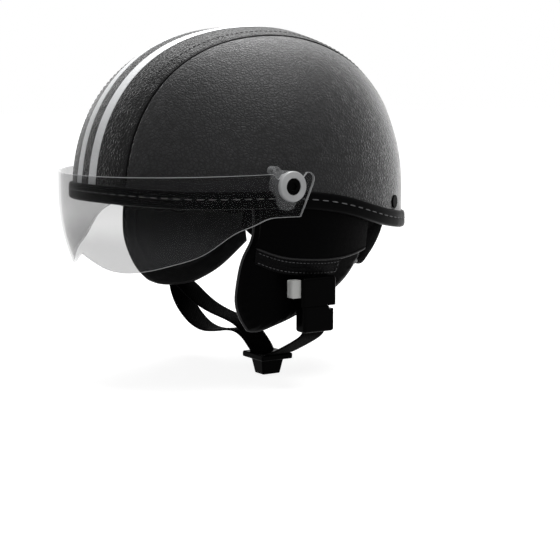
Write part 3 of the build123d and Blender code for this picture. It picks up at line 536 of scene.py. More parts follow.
class Bench:
    """Adds nodes and links to one node tree, with a method for each pattern that the finishes use."""

    noise_rough = 0.55
    wave_turn = 20.0

    def __init__(self, tree: bpy.types.NodeTree) -> None:
        """Takes the tree to work in."""
        self.tree = tree

    def feed(self, target: Socket, value: Socket | float | tuple) -> None:
        """Links a socket to an input, or sets a plain value on it.

        Args:
            target: the input.
            value: a socket or a plain value.
        """
        if isinstance(value, Socket):
            self.tree.links.new(value, target)
        else:
            target.default_value = value

    def node(self, kind: str, inputs: dict, **settings: object) -> bpy.types.Node:
        """A new node.

        Args:
            kind: the node's type.
            inputs: a socket or a plain value for each input, by name or number.
            settings: the node's own properties.

        Returns:
            The node.
        """
        made = self.tree.nodes.new(kind)
        for key, value in settings.items():
            setattr(made, key, value)
        for key, value in inputs.items():
            self.feed(made.inputs[key], value)
        return made

    def place(self, space: Space, turn: float = 0.0) -> Socket:
        """The pattern's coordinates, in metres.

        Args:
            space: object or cloth coordinates.
            turn: degrees to turn the pattern about Z.

        Returns:
            The vector socket.
        """
        source = self.node("ShaderNodeTexCoord", {}).outputs[space.value]
        if not turn:
            return source
        turned = {"Vector": source, "Rotation": (0.0, 0.0, math.radians(turn))}
        return self.node("ShaderNodeMapping", turned).outputs["Vector"]

    def noise(self, at: Socket, size: float, detail: float = 3.0) -> Socket:
        """Cloudy noise with features of a size in millimetres."""
        inputs = {"Vector": at, "Scale": 1 / (size * MM), "Detail": detail, "Roughness": self.noise_rough}
        return self.node("ShaderNodeTexNoise", inputs).outputs["Fac"]

    def cells(self, at: Socket, size: float) -> Socket:
        """Distance to the edges of cells of a size in millimetres."""
        inputs = {"Vector": at, "Scale": 1 / (size * MM)}
        return self.node("ShaderNodeTexVoronoi", inputs, feature="DISTANCE_TO_EDGE").outputs["Distance"]

    def bands(self, at: Socket, pitch: float, way: Rib, sway: float = 0.0) -> Socket:
        """Ribs at a pitch in millimetres: the wave node turns by 20 radians for a scale of 1.

        Args:
            at: the coordinates.
            pitch: distance from rib to rib.
            way: how the ribs follow one another.
            sway: how much they waver.

        Returns:
            Nought between the ribs, one on top of them.
        """
        scale = 2 * math.pi / self.wave_turn / (pitch * MM)
        inputs = {"Vector": at, "Scale": scale, "Distortion": sway, "Detail": 1.0}
        return self.node("ShaderNodeTexWave", inputs, bands_direction=way.value).outputs["Fac"]

    def stretch(self, value: Socket, low: float, high: float, to_low: float = 0.0, to_high: float = 1.0) -> Socket:
        """Maps a range of a value onto another, smoothly and clamped."""
        inputs = {"Value": value, "From Min": low, "From Max": high, "To Min": to_low, "To Max": to_high}
        return self.node("ShaderNodeMapRange", inputs, interpolation_type="SMOOTHSTEP").outputs["Result"]

    def mix(self, way: Join, a: Socket, b: Socket | float) -> Socket:
        """Makes one value of two."""
        return self.node("ShaderNodeMath", {0: a, 1: b}, operation=way.value).outputs["Value"]

    def seen(self) -> Socket:
        """One for camera, glossy and transmission rays, else nought.

        Returns:
            The value's socket.
        """
        rays = self.node("ShaderNodeLightPath", {}).outputs
        shared = self.mix(Join.LARGER, rays["Is Camera Ray"], rays["Is Glossy Ray"])
        return self.mix(Join.LARGER, shared, rays["Is Transmission Ray"])


class Shading(Bench):
    """The nodes of one material, round its Principled shader."""

    def __init__(self, name: str) -> None:
        """Starts an empty material with its Principled shader.

        Args:
            name: the material's name.
        """
        self.material = bpy.data.materials.new(name)
        self.material.use_nodes = True
        super().__init__(self.material.node_tree)
        self.shader = self.tree.nodes["Principled BSDF"]

    def put(self, **values: Socket | float | tuple) -> None:
        """Links the shader's own sockets or sets plain values on them, their names written with underscores."""
        for key, value in values.items():
            self.feed(self.shader.inputs[key.replace("_", " ")], value)

    def tint(self, share: Socket, dark: tuple, light: tuple) -> None:
        """Colours the shader between two colours by a value."""
        made = self.node("ShaderNodeMix", {"Factor": share, 6: (*dark, 1), 7: (*light, 1)}, data_type="RGBA")
        self.put(Base_Color=made.outputs[2])

    def gloss(self, share: Socket, low: float, high: float) -> None:
        """Varies the roughness between two numbers by a value from 0 to 1."""
        self.put(Roughness=self.stretch(share, 0.0, 1.0, low, high))

    def relief(self, height: Socket, depth: float, strength: float = 1.0) -> None:
        """Adds a bump of a depth in millimetres over any bump that is already there.

        Args:
            height: the value that stands out.
            depth: how far it stands out.
            strength: the share of the bump that is kept.
        """
        made = self.node("ShaderNodeBump", {"Height": height, "Distance": depth * MM, "Strength": strength})
        under = self.shader.inputs["Normal"]
        if under.is_linked:
            self.feed(made.inputs["Normal"], under.links[0].from_socket)
        self.put(Normal=made.outputs["Normal"])


@dataclass(frozen=True)
class Leather:
    """Leatherette: pebbled cells parted by creases, over slow wrinkles. Shares are of the grain and the depth."""

    name: str
    grain: float
    depth: float
    level: float
    light: tuple
    dark: tuple = (0.002, 0.002, 0.0022)
    rough_low: float = 0.3
    rough_high: float = 0.5
    sheen: float = 0.0
    sheen_rough: float = 0.4
    crease: float = 0.22
    fine_share: float = 0.45
    fine_crease: float = 0.3
    fine_depth_share: float = 0.3
    wrinkle_share: float = 3.0
    wrinkle_depth_share: float = 1.8
    wear_share: float = 1.7
    wear_on_pebbles: float = 0.25
    soft_strength: float = 0.7

    def material(self) -> bpy.types.Material:
        """Builds the finish.

        Returns:
            The material, with its nodes.
        """
        made = Shading(self.name)
        at = made.place(Space.OBJECT)
        pebbles = made.stretch(made.cells(at, self.grain), 0.0, self.crease)
        fine = made.stretch(made.cells(at, self.grain * self.fine_share), 0.0, self.fine_crease)
        wrinkles = made.noise(at, self.grain * self.wrinkle_share, 4.0)
        grain = made.mix(Join.PRODUCT, pebbles, made.stretch(wrinkles, 0.25, 0.75, 0.45, 1.0))
        made.tint(grain, self.dark, self.light)
        worn = made.noise(at, self.grain * self.wear_share, 2.0)
        worn = made.mix(Join.SUM, worn, made.mix(Join.PRODUCT, grain, self.wear_on_pebbles))
        made.gloss(worn, self.rough_high, self.rough_low)
        made.relief(wrinkles, self.depth * self.wrinkle_depth_share, self.soft_strength)
        made.relief(grain, self.depth)
        made.relief(fine, self.depth * self.fine_depth_share, self.soft_strength)
        made.put(Specular_IOR_Level=self.level, Sheen_Weight=self.sheen, Sheen_Roughness=self.sheen_rough)
        return made.material


@dataclass(frozen=True)
class Cloth:
    """Knit or woven lining: two crossing ribs on the cloth's own coordinates, with a soft sheen."""

    name: str
    dark: tuple
    light: tuple
    sheen: float
    pitch: float = 1.4
    row_share: float = 0.8
    sway: float = 0.6
    depth: float = 0.25
    cloud: float = 9.0
    cloud_depth: float = 0.6
    level: float = 0.01

    def material(self) -> bpy.types.Material:
        """Builds the finish.

        Returns:
            The material, with its nodes.
        """
        made = Shading(self.name)
        at = made.place(Space.CLOTH)
        columns = made.bands(at, self.pitch, Rib.ACROSS, self.sway)
        knit = made.mix(Join.PRODUCT, columns, made.bands(at, self.pitch * self.row_share, Rib.ALONG, self.sway))
        cloud = made.noise(made.place(Space.OBJECT), self.cloud, 4.0)
        ribs, patches = made.stretch(knit, 0.0, 0.7, 0.45, 1.0), made.stretch(cloud, 0.3, 0.7, 0.65, 1.0)
        made.tint(made.mix(Join.PRODUCT, ribs, patches), self.dark, self.light)
        made.relief(cloud, self.cloud_depth, 0.5)
        made.relief(knit, self.depth)
        made.put(Roughness=0.88, Sheen_Weight=self.sheen, Sheen_Roughness=0.45, Specular_IOR_Level=self.level)
        return made.material


@dataclass(frozen=True)
class Webbing:
    """Woven strap: two twills that lean against each other, by the strap's own coordinates."""

    name: str
    dark: tuple
    light: tuple
    pitch: float = 1.7
    slant: float = 38.0
    sway: float = 0.2
    depth: float = 0.35
    fuzz: float = 0.7
    fuzz_depth: float = 0.12
    level: float = 0.006

    def material(self) -> bpy.types.Material:
        """Builds the finish.

        Returns:
            The material, with its nodes.
        """
        made = Shading(self.name)
        leaning = made.bands(made.place(Space.CLOTH, self.slant), self.pitch, Rib.ACROSS, self.sway)
        against = made.bands(made.place(Space.CLOTH, -self.slant), self.pitch, Rib.ACROSS, self.sway)
        twill = made.mix(Join.LARGER, leaning, against)
        fuzz = made.noise(made.place(Space.OBJECT), self.fuzz, 2.0)
        made.tint(made.mix(Join.PRODUCT, twill, made.stretch(fuzz, 0.2, 0.8, 0.6, 1.0)), self.dark, self.light)
        made.relief(twill, self.depth)
        made.relief(fuzz, self.fuzz_depth, 0.6)
        made.put(Roughness=0.6, Specular_IOR_Level=self.level)
        return made.material


@dataclass(frozen=True)
class Moulding:
    """Moulded plastic, rubber or metal: a faint skin texture and slow changes of gloss."""

    name: str
    rough_low: float
    rough_high: float
    dark: tuple = (0.003, 0.003, 0.0032)
    light: tuple = (0.005, 0.005, 0.0053)
    texture: float = 0.8
    depth: float = 0.04
    metal: float = 0.0
    level: float = 0.3
    cloud: float = 14.0

    def material(self) -> bpy.types.Material:
        """Builds the finish.

        Returns:
            The material, with its nodes.
        """
        made = Shading(self.name)
        at = made.place(Space.OBJECT)
        slow = made.noise(at, self.cloud, 4.0)
        made.tint(slow, self.dark, self.light)
        made.gloss(made.stretch(slow, 0.25, 0.75), self.rough_low, self.rough_high)
        made.relief(made.noise(at, self.texture), self.depth)
        made.put(Metallic=self.metal, Specular_IOR_Level=self.level)
        return made.material


@dataclass(frozen=True)
class ClearPlastic:
    """Clear polycarbonate as a thin film on each face, under gloss and a grey tint; on the visor a painted reflection
    thickens it low down.

    Low down the tint turns paler and the film denser: a painted reflection of the floor, which fades in between two
    heights of the object, in metres, and drifts a little with a slow noise. The cut edge's pale tint is a painted
    highlight.
    """

    name: str
    tint_and_highlight: tuple = (0.009, 0.0095, 0.01)
    cover: float = 0.24
    low_painted_reflection: tuple = ()
    low_reflection_cover: float = 0.36
    reflection_from: float = -0.036
    reflection_to: float = -0.002
    drift: float = 0.012
    drift_size: float = 30.0
    rough: float = 0.03
    frost: float = 0.0
    frost_size: float = 2.5
    frost_depth: float = 0.25
    patch_size: float = 12.0
    level: float = 0.08

    def material(self) -> bpy.types.Material:
        """Builds the finish.

        Returns:
            The material, with its nodes.
        """
        made = Shading(self.name)
        at = made.place(Space.OBJECT)
        # Low down the film turns paler and denser: a painted reflection of the floor, over the visor's own grey tint.
        if self.low_painted_reflection:
            height = made.node("ShaderNodeSeparateXYZ", {0: at}).outputs["Z"]
            drifted = made.mix(Join.PRODUCT, made.noise(at, self.drift_size, 2.0), self.drift)
            upper = made.stretch(made.mix(Join.SUM, height, drifted), self.reflection_from, self.reflection_to)
            made.tint(upper, self.low_painted_reflection, self.tint_and_highlight)
            made.put(Alpha=made.stretch(upper, 0.0, 1.0, self.low_reflection_cover, self.cover))
        else:
            # Without a low reflection the tint varies in patches; on the cut edge's finish this pale tint is a
            # painted highlight.
            made.tint(made.noise(at, self.patch_size), tuple(c * 0.8 for c in self.tint_and_highlight), self.tint_and_highlight)
            made.put(Alpha=self.cover)
        if self.frost:
            cloud = made.noise(at, self.frost_size, 4.0)
            made.gloss(cloud, self.rough, self.rough + self.frost)
            made.relief(cloud, self.frost_depth, 0.6)
        else:
            made.put(Roughness=self.rough)
        made.put(Specular_IOR_Level=self.level)
        return made.material


@dataclass(frozen=True)
class Vinyl:
    """Silver vinyl pressed over the leatherette, whose grain shows through."""

    name: str
    dark: tuple = (0.60, 0.61, 0.62)
    light: tuple = (0.76, 0.77, 0.78)
    grain: float = 2.3
    patch_size: float = 12.0
    depth: float = 0.1
    rough_low: float = 0.34
    rough_high: float = 0.5
    level: float = 0.5

    def material(self) -> bpy.types.Material:
        """Builds the finish.

        Returns:
            The material, with its nodes.
        """
        made = Shading(self.name)
        at = made.place(Space.OBJECT)
        grain = made.stretch(made.cells(at, self.grain), 0.0, 0.3)
        cloud = made.noise(at, self.patch_size)
        pebbles, patches = made.stretch(grain, 0.0, 1.0, 0.7, 1.0), made.stretch(cloud, 0.2, 0.8, 0.6, 1.0)
        made.tint(made.mix(Join.PRODUCT, pebbles, patches), self.dark, self.light)
        made.gloss(cloud, self.rough_low, self.rough_high)
        made.relief(grain, self.depth, 0.7)
        made.put(Specular_IOR_Level=self.level)
        return made.material


@dataclass(frozen=True)
class Thread:
    """Twisted sewing thread."""

    name: str
    dark: tuple
    light: tuple
    twist: float = 0.5
    depth: float = 0.1

    def material(self) -> bpy.types.Material:
        """Builds the finish.

        Returns:
            The material, with its nodes.
        """
        made = Shading(self.name)
        at = made.place(Space.OBJECT)
        made.tint(made.noise(at, 3.0), self.dark, self.light)
        made.relief(made.bands(at, self.twist, Rib.SLANTED), self.depth)
        made.put(Roughness=0.55, Sheen_Weight=0.05, Specular_IOR_Level=0.2)
        return made.material


@dataclass(frozen=True)
class BeadFoam:
    """Black bead foam: pressed cells a few millimetres across."""

    name: str = "bead_foam"
    dark: tuple = (0.003, 0.003, 0.0033)
    light: tuple = (0.01, 0.01, 0.011)
    bead: float = 4.0
    depth: float = 0.3

    def material(self) -> bpy.types.Material:
        """Builds the finish.

        Returns:
            The material, with its nodes.
        """
        made = Shading(self.name)
        at = made.place(Space.OBJECT)
        beads = made.stretch(made.cells(at, self.bead), 0.0, 0.18)
        made.tint(beads, self.dark, self.light)
        made.put(Specular_IOR_Level=0.05)
        made.gloss(beads, 0.85, 0.6)
        made.relief(beads, self.depth)
        made.relief(made.noise(at, 1.0, 2.0), 0.1)
        return made.material


class Finish(Enum):
    """Every finish of the helmet."""

    # CROWN and SIDE are one black leatherette in two tones: the crown's colour is painted darker, a painted shade for
    # the panel that faces the brow, and the sides' painted lighter, for the light that falls on them.
    CROWN = Leather(
        "leatherette_crown", grain=2.8, depth=0.4, dark=(0.001, 0.001, 0.0011), light=(0.005, 0.005, 0.0054),
        rough_low=0.42, rough_high=0.52, level=0.11, sheen=0.5, sheen_rough=0.3,
    )
    SIDE = Leather(
        "leatherette_side", grain=2.6, depth=0.22, dark=(0.008, 0.008, 0.0084), light=(0.019, 0.019, 0.02),
        rough_low=0.42, rough_high=0.52, level=0.12, sheen=0.85, sheen_rough=0.33,
    )
    FLAP = Leather(
        "leatherette_flap", grain=1.1, depth=0.05, dark=(0.0004, 0.0004, 0.0005), light=(0.001, 0.001, 0.0011),
        rough_low=0.34, rough_high=0.46, level=0.012,
    )
    BAND = Leather("leatherette_band", grain=1.9, depth=0.45, light=(0.003, 0.003, 0.0033), level=0.03)
    WELT = Leather("leatherette_welt", grain=0.8, depth=0.06, light=(0.001, 0.001, 0.0011), level=0.03)
    PIPING = Leather("leatherette_piping", grain=0.8, depth=0.05, light=(0.006, 0.006, 0.0065), level=0.2)
    VINYL = Vinyl("silver_vinyl")
    RUBBER = Moulding(
        "rubber_trim", dark=(0.0004, 0.0004, 0.0005), light=(0.0012, 0.0012, 0.0013), texture=0.6, depth=0.05,
        rough_low=0.3, rough_high=0.42, level=0.018,
    )
    LINING = Cloth("lining_cloth", dark=(0.001, 0.001, 0.0011), light=(0.004, 0.004, 0.0044), sheen=0.01)
    # The flap lining's grey, far paler than the other linings, is a painted reflection on the flap's inner face.
    INNER = Cloth("flap_lining", dark=(0.02, 0.02, 0.021), light=(0.05, 0.05, 0.052), sheen=0.1)
    CURTAIN = Cloth(
        "curtain_cloth", dark=(0.0006, 0.0006, 0.0007), light=(0.0018, 0.0018, 0.002), pitch=1.0, depth=0.12,
        sheen=0.0,
    )
    WEBBING = Webbing("strap_webbing", dark=(0.0003, 0.0003, 0.0003), light=(0.0012, 0.0012, 0.0013))
    # The visor: a grey tint, and low down a painted reflection of the floor.
    CLEAR = ClearPlastic("clear_visor", low_painted_reflection=(0.06, 0.061, 0.064))
    # The visor's cut edge and the faces beside it, painted pale: a painted highlight along the edge.
    CLEAR_EDGE_HIGHLIGHT = ClearPlastic("clear_edge_painted_highlight", tint_and_highlight=(0.75, 0.76, 0.77), cover=0.42, rough=0.12, level=0.5)
    FROSTED = ClearPlastic(
        "clear_base", tint_and_highlight=(0.26, 0.265, 0.27), cover=0.45, rough=0.08, frost=0.25, level=0.5,
    )
    CUP = ClearPlastic("clear_knob", tint_and_highlight=(0.5, 0.505, 0.51), cover=0.68, rough=0.06, frost=0.2, level=0.6)
    GLOSS = Moulding(
        "black_gloss", dark=(0.0004, 0.0004, 0.0005), light=(0.001, 0.001, 0.0011), rough_low=0.1, rough_high=0.2,
        depth=0.012, level=0.015,
    )
    BUTTON = Moulding(
        "grey_button", dark=(0.50, 0.505, 0.49), light=(0.58, 0.585, 0.57), rough_low=0.38, rough_high=0.5,
        depth=0.03,
    )
    SHELL = Moulding("shell_plastic", rough_low=0.35, rough_high=0.5, depth=0.06, level=0.05)
    STEEL = Moulding(
        "bare_steel", dark=(0.5, 0.5, 0.51), light=(0.58, 0.58, 0.59), metal=1.0, rough_low=0.24, rough_high=0.38,
        texture=0.4,
    )
    BLACK_STEEL = Moulding(
        "black_steel", dark=(0.0005, 0.0005, 0.0005), light=(0.001, 0.001, 0.001), rough_low=0.3, rough_high=0.45,
        level=0.015,
    )
    CHROME = Moulding(
        "chrome_ring", dark=(0.74, 0.74, 0.75), light=(0.8, 0.8, 0.81), metal=1.0, rough_low=0.06, rough_high=0.14,
        depth=0.008,
    )
    FOAM = BeadFoam()
    GREY_THREAD = Thread("grey_thread", (0.05, 0.05, 0.052), (0.12, 0.12, 0.124))
    BLACK_THREAD = Thread("black_thread", (0.001, 0.001, 0.0011), (0.006, 0.006, 0.0065))


@dataclass
class Workshop:
    """Puts finished pieces on their bodies and reports them."""

    made: dict[Finish, bpy.types.Material] = field(default_factory=dict)
    count: int = 0
    lets_light_by: tuple = (Finish.CLEAR, Finish.CUP, Finish.FROSTED)

    def finish(self, look: Finish) -> bpy.types.Material:
        """The material of a finish, made when it is first asked for.

        Args:
            look: which finish.

        Returns:
            Its material.
        """
        if look not in self.made:
            self.made[look] = look.value.material()
        return self.made[look]

    def let_light_by(self, piece: Piece) -> None:
        """Keeps clear plastic out of shadows and soft light, which it would dapple."""
        piece.visible_shadow = piece.visible_diffuse = False

    def dress(
        self,
        piece: Piece,
        looks: Finish | tuple[Finish, ...],
        slot: str,
        body: str | None = "root",
        stands_for: tuple[str, ...] = (),
    ) -> Piece:
        """Gives a piece its finishes and body, hides the CAD nodes that it stands for and logs its slot.

        Args:
            piece: the new object.
            looks: its finish, or one for each material index.
            slot: the record's material slot, which only goes to the log.
            body: the body it rides on, or None to leave it unattached.
            stands_for: CAD nodes that it replaces.

        Returns:
            The piece.
        """
        for look in (looks,) if isinstance(looks, Finish) else looks:
            piece.data.materials.append(self.finish(look))
        if body:
            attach(piece, body)
        if stands_for:
            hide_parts(*stands_for)
        self.count += 1
        LOG.info("%s: %d faces, %s", piece.name, len(piece.data.polygons), slot)
        return piece

    def paint(self, look: Finish, *nodes: str) -> None:
        """Gives CAD nodes a finish.

        Args:
            look: the finish.
            nodes: names of the nodes.
        """
        for name in nodes:
            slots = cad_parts[name].data.materials
            slots.clear()
            slots.append(self.finish(look))
            if look in self.lets_light_by:
                self.let_light_by(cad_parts[name])
            LOG.info("%s keeps its shape, in %s", name, look.value.name)


# ---------------------------------------------------------------- the dome


@dataclass(frozen=True)
class Dome:
    """The egg-shaped dome that every layer follows, at a depth (inset) under its outer surface."""

    half_width: float = 115.0
    front_reach: float = 141.0
    rear_reach: float = 127.0
    crown: float = 129.0
    fullness: float = 0.62
    wall: float = 100.0
    gap: float = 1.6
    rim_line: tuple = ((-162.15, -1.0), (-100.1, -5.5), (-39.5, -5.5), (10.2, -10.6), (59.7, -22.6), (152.4, -31.0))
    seam_line: tuple = ((-172.9, 44.0), (0.0, 46.5), (140.3, 58.0))
    unevenness: float = 0.1
    table: int = 4001
    rounds: int = 8

    def rim(self, y: Array) -> Array:
        """Height of the rim line at a Y."""
        return held_spline(self.rim_line, y)

    def seam(self, y: Array) -> Array:
        """Distance of the seam from the middle at a Y."""
        return held_spline(self.seam_line, y)

    def share(self, y: Array) -> Array:
        """How much longer than wide the half is that a Y lies in."""
        return np.where(np.asarray(y) < 0, self.front_reach, self.rear_reach) / self.half_width

    def meridian(self, climb: Array, inset: Array | float = 0.0) -> tuple[Array, Array]:
        """Radius and height: a cubic Bezier for climbs from 0 to 1, and the straight wall below 0.

        Args:
            climb: 0 at the foot of the dome, 1 at the crown, negative down the wall.
            inset: depth under the outer surface.

        Returns:
            Radii and heights.
        """
        radius, top = self.half_width - inset, self.crown - inset
        t = np.clip(climb, 0, 1)
        radii = radius * ((1 - t) ** 3 + 3 * (1 - t) ** 2 * t + 3 * self.fullness * (1 - t) * t**2)
        heights = top * (3 * self.fullness * (1 - t) ** 2 * t + 3 * (1 - t) * t**2 + t**3)
        return radii, heights + np.minimum(climb, 0) * self.wall

    def height(self, radius: Array, inset: float = 0.0) -> Array:
        """Height of the dome at a distance from its axis, by the meridian's own table."""
        radii, heights = self.meridian(np.linspace(1, 0, self.table), inset)
        return np.interp(radius, radii, heights)

    def reach(self, z: Array, inset: float = 0.0) -> Array:
        """Radius of the dome at a height; the foot's below its foot."""
        radii, heights = self.meridian(np.linspace(0, 1, self.table), inset)
        return np.interp(z, heights, radii)

    def y_at(self, azimuth: Array, radius: Array) -> Array:
        """Y of a place at an azimuth and radius, drawn out to the front and the back."""
        return np.sin(azimuth) * radius * self.share(np.sin(azimuth))

    def around(self, azimuth: Array, radius: Array, z: Array) -> Array:
        """Points at an azimuth, radius and height."""
        x, y = np.cos(azimuth) * radius, self.y_at(azimuth, radius)
        return np.stack(np.broadcast_arrays(x, y, z), axis=-1)

    def over(self, across: Rule, along: Array) -> Array:
        """Points on lines that run from the brow over the crown to the nape.

        For the turn a = along * 90 degrees, y = share * sin a * sqrt(R^2 - x^2) and z is the dome's height at
        sqrt(R^2 sin^2 a + x^2 cos^2 a). Past a turn of one the line goes straight down the wall.

        Args:
            across: gives X from Y.
            along: -1 at the foot of the brow, 1 at the foot of the nape.

        Returns:
            The points.
        """
        turn = np.clip(along, -1, 1) * math.pi / 2
        y = np.sin(turn) * self.half_width * self.share(turn)
        for _ in range(self.rounds):
            x = across(y)
            y = np.sin(turn) * self.share(turn) * np.sqrt(self.half_width**2 - x**2)
        radius = np.sqrt(self.half_width**2 * np.sin(turn) ** 2 + x**2 * np.cos(turn) ** 2)
        z = self.height(radius) - np.maximum(np.abs(along) - 1, 0) * self.wall
        return np.stack(np.broadcast_arrays(x, y, z), axis=-1)

    def wave(self, points: Array) -> Array:
        """Slow unevenness of the stretched cover: three crossed sine waves of one height.

        Args:
            points: points on the dome.

        Returns:
            How far each stands out.
        """
        x, y, z = np.moveaxis(points, -1, 0)
        crossed = np.sin(x / 13 + y / 19) + np.sin(y / 11 - z / 17 + 1.3) + np.sin(z / 9 + x / 23 + 2.1)
        return self.unevenness * crossed


@dataclass
class Assembly:
    """A sub-assembly, whose pieces are dressed in the workshop."""

    shop: Workshop


@dataclass
class DomeAssembly(Assembly):
    """A sub-assembly that is laid out from the dome."""

    dome: Dome


@dataclass
class Covers(DomeAssembly):
    """The leatherette panels, with their welts, stitch rows and silver stripes. Grids are rows by columns."""

    thickness: float = 1.5
    hem_lift: float = 5.0
    dip: float = 0.8
    dip_width: float = 1.5
    centre_grid: tuple = (250, 70)
    flank_grid: tuple = (88, 240)
    flank_rounds: int = 12
    first_end: float = 1.1
    hem_climbs: tuple = (-0.4, 0.3)
    least_climb: float = 0.002
    welt_radius: float = 1.02
    welt_depth: float = 0.75
    stitch_pitch: float = 4.2
    stitch_length: float = 3.0
    stitch_radius: float = 0.26
    stitch_offset: float = 9.5
    stitch_margin: float = 12.0
    stitch_proud: float = 0.1
    stripe_grid: tuple = (240, 8)
    stripe_near: float = 8.2
    stripe_width: float = 9.5
    stripe_draw: float = 2.4
    draw_from: float = 50.0
    draw_over: float = 90.0
    stripe_lift: float = 5.0
    stripe_end: float = 77.0
    stripe_proud: float = 0.4
    stripe_sunk: float = 0.3

    def limits(self, across: Rule, example: Array, lift: float) -> tuple[Array, Array]:
        """Where lines over the crown meet a height over the rim, in front and behind.

        Args:
            across: gives X from Y.
            example: an array shaped as the lines.
            lift: height over the rim.

        Returns:
            The first and last turn of each line.
        """
        past_foot = 1.3

        def clear(along: Array) -> Array:
            """Height over the wanted one."""
            points = self.dome.over(across, along)
            return points[..., 2] - self.dome.rim(points[..., 1]) - lift

        middle = np.zeros_like(example)
        return halve(clear, middle - past_foot, middle), halve(clear, middle + past_foot, middle)

    def seam_path(self, side: Side, inward: float = 0.0, count: int = 420) -> tuple[Array, Array]:
        """A line beside the seam, from the brow to the nape, and the outward normals on it.

        Args:
            side: which seam.
            inward: distance from the seam towards the middle.
            count: number of points.

        Returns:
            Points and normals, from three lines close beside each other.
        """
        beside = np.array([-0.4, 0.0, 0.4])[None, :]

        def across(y: Array) -> Array:
            """X of the three lines at a Y."""
            return side.value * (self.dome.seam(y) - inward) + beside

        start, end = self.limits(across, np.zeros((1, 3)), self.hem_lift)
        along = start + (end - start) * np.linspace(0, 1, count)[:, None]
        grid = self.dome.over(across, along)
        return grid[:, 1], grid_normals(grid, grid)[:, 1]

    def relief(self, points: Array) -> Array:
        """Height of the cover over the plain dome: slow waves, less bell-shaped dips along the seams.

        Args:
            points: points on the plain dome.

        Returns:
            Heights along the normals.
        """
        total = self.dome.wave(points)
        for side in Side:
            away = border_distance(points, self.seam_path(side, count=220)[0])
            total = total - self.dip * bell(away, self.dip_width)
        return total

    def sheet(self, grid: Array, name: str, look: Finish) -> None:
        """Makes one panel from its grid on the plain dome.

        Args:
            grid: rows by columns of points.
            name: the name of the piece and of its node.
            look: its finish.
        """
        normals = grid_normals(grid, grid)
        outer = grid + normals * self.relief(grid)[..., None]
        panel = slab(outer, grid - normals * self.thickness).piece(name)
        self.shop.dress(panel, look, "leatherette", stands_for=(name,))

    def centre(self) -> None:
        """The middle panel: X is a share of the seam's distance at each Y."""
        rows, columns = self.centre_grid
        shares = (2 * stops(columns) - 1)[None, :]

        def across(y: Array) -> Array:
            """X of the panel's lines at a Y."""
            return shares * (self.dome.seam(y) - self.dome.gap / 2)

        start, end = self.limits(across, np.zeros_like(shares), self.hem_lift)
        along = start + (end - start) * stops(rows, 0.001)[:, None]
        # The middle panel's leatherette is painted darker than the sides': painted shade.
        self.sheet(self.dome.over(across, along), "cover_centre", Finish.CROWN)

    def flank(self, side: Side) -> None:
        """A side panel: meridians at crowded azimuths, each from over the rim up to the seam.

        Args:
            side: the side of the head.
        """
        dome = self.dome
        rows, columns = self.flank_grid
        reach = np.array([-1.0, 1.0])
        ends = reach * self.first_end
        for _ in range(self.flank_rounds):
            y = dome.y_at(ends, dome.half_width)
            ends = reach * np.arccos((dome.seam(y) + dome.gap / 2) / dome.half_width)
        swing = np.sin((2 * stops(columns, 0.001) - 1) * math.pi / 2)
        azimuth = (ends[0] + ends[1]) / 2 + (ends[1] - ends[0]) / 2 * swing

        def over_rim(climb: Array) -> Array:
            """Height over the hem at a climb."""
            radius, z = dome.meridian(climb)
            return z - dome.rim(dome.y_at(azimuth, radius)) - self.hem_lift

        def past_seam(climb: Array) -> Array:
            """Distance past the seam's edge, towards the middle, at a climb."""
            radius = dome.meridian(climb)[0]
            return dome.seam(dome.y_at(azimuth, radius)) + dome.gap / 2 - radius * np.cos(azimuth)

        low = halve(over_rim, *(np.full_like(azimuth, climb) for climb in self.hem_climbs))
        high = np.maximum(halve(past_seam, np.zeros_like(azimuth), np.ones_like(azimuth)), low + self.least_climb)
        climb = low + (high - low) * stops(rows)[:, None]
        radius, z = dome.meridian(climb)
        grid = dome.around(azimuth[None, :], radius, z)
        grid[..., 0] *= side.value
        # The side panels' leatherette is painted lighter than the middle panel's: painted light.
        self.sheet(grid, f"cover_{side.word}", Finish.SIDE)

    def seam_goods(self, side: Side) -> None:
        """The welt in a seam, and the stitch row on the middle panel beside it.

        Args:
            side: the side of the head.
        """
        path, normals = self.seam_path(side)
        welt = bead(path - normals * self.welt_depth, normals, self.welt_radius).piece(f"welt_{side.word}")
        self.shop.dress(welt, Finish.WELT, "welt", stands_for=(f"seam_welt_{side.word}",))
        line, away = self.seam_path(side, self.stitch_offset)
        line = line + away * (self.relief(line)[:, None] + self.stitch_proud)
        places, ahead = evenly(line, self.stitch_pitch, self.stitch_margin)
        nearest = np.argmin(np.linalg.norm(places[:, None] - line[None], axis=2), axis=1)
        row = stitch_row(places, ahead, away[nearest], self.stitch_length, self.stitch_radius)
        self.shop.dress(row.piece(f"topstitch_{side.word}_0"), Finish.BLACK_THREAD, "welt")

    def stripe(self, side: Side) -> None:
        """A silver stripe of one width, drawn nearer to the middle at the brow, from the trim over the crown.

        Args:
            side: the side of the head.
        """
        rows, count = self.stripe_grid
        columns = (self.stripe_near + self.stripe_width * stops(count, 0.02))[None, :]

        def across(y: Array) -> Array:
            """X of the stripe's lines at a Y."""
            return side.value * (columns - self.stripe_draw * np.clip((-y - self.draw_from) / self.draw_over, 0, 1))

        start, _ = self.limits(across, np.zeros_like(columns), self.hem_lift + self.stripe_lift)

        def past(along: Array) -> Array:
            """How far under the stripe's end."""
            return self.stripe_end - self.dome.over(across, along)[..., 2]

        end = halve(past, np.zeros_like(columns), np.ones_like(columns))
        along = start + (end - start) * stops(rows, 0.0008)[:, None]
        grid = self.dome.over(across, along)
        normals = grid_normals(grid, grid)
        rise = self.dome.wave(grid)[..., None]
        made = slab(grid + normals * (rise + self.stripe_proud), grid + normals * (rise - self.stripe_sunk))
        self.shop.dress(
            made.piece(f"stripe_band_{side.word}"), Finish.VINYL, "stripe", stands_for=(f"stripe_{side.word}",)
        )

    def build(self) -> None:
        """Builds every cover piece."""
        self.centre()
        for side in Side:
            self.flank(side)
            self.seam_goods(side)
            self.stripe(side)
        self.shop.paint(Finish.SHELL, "outer_shell")


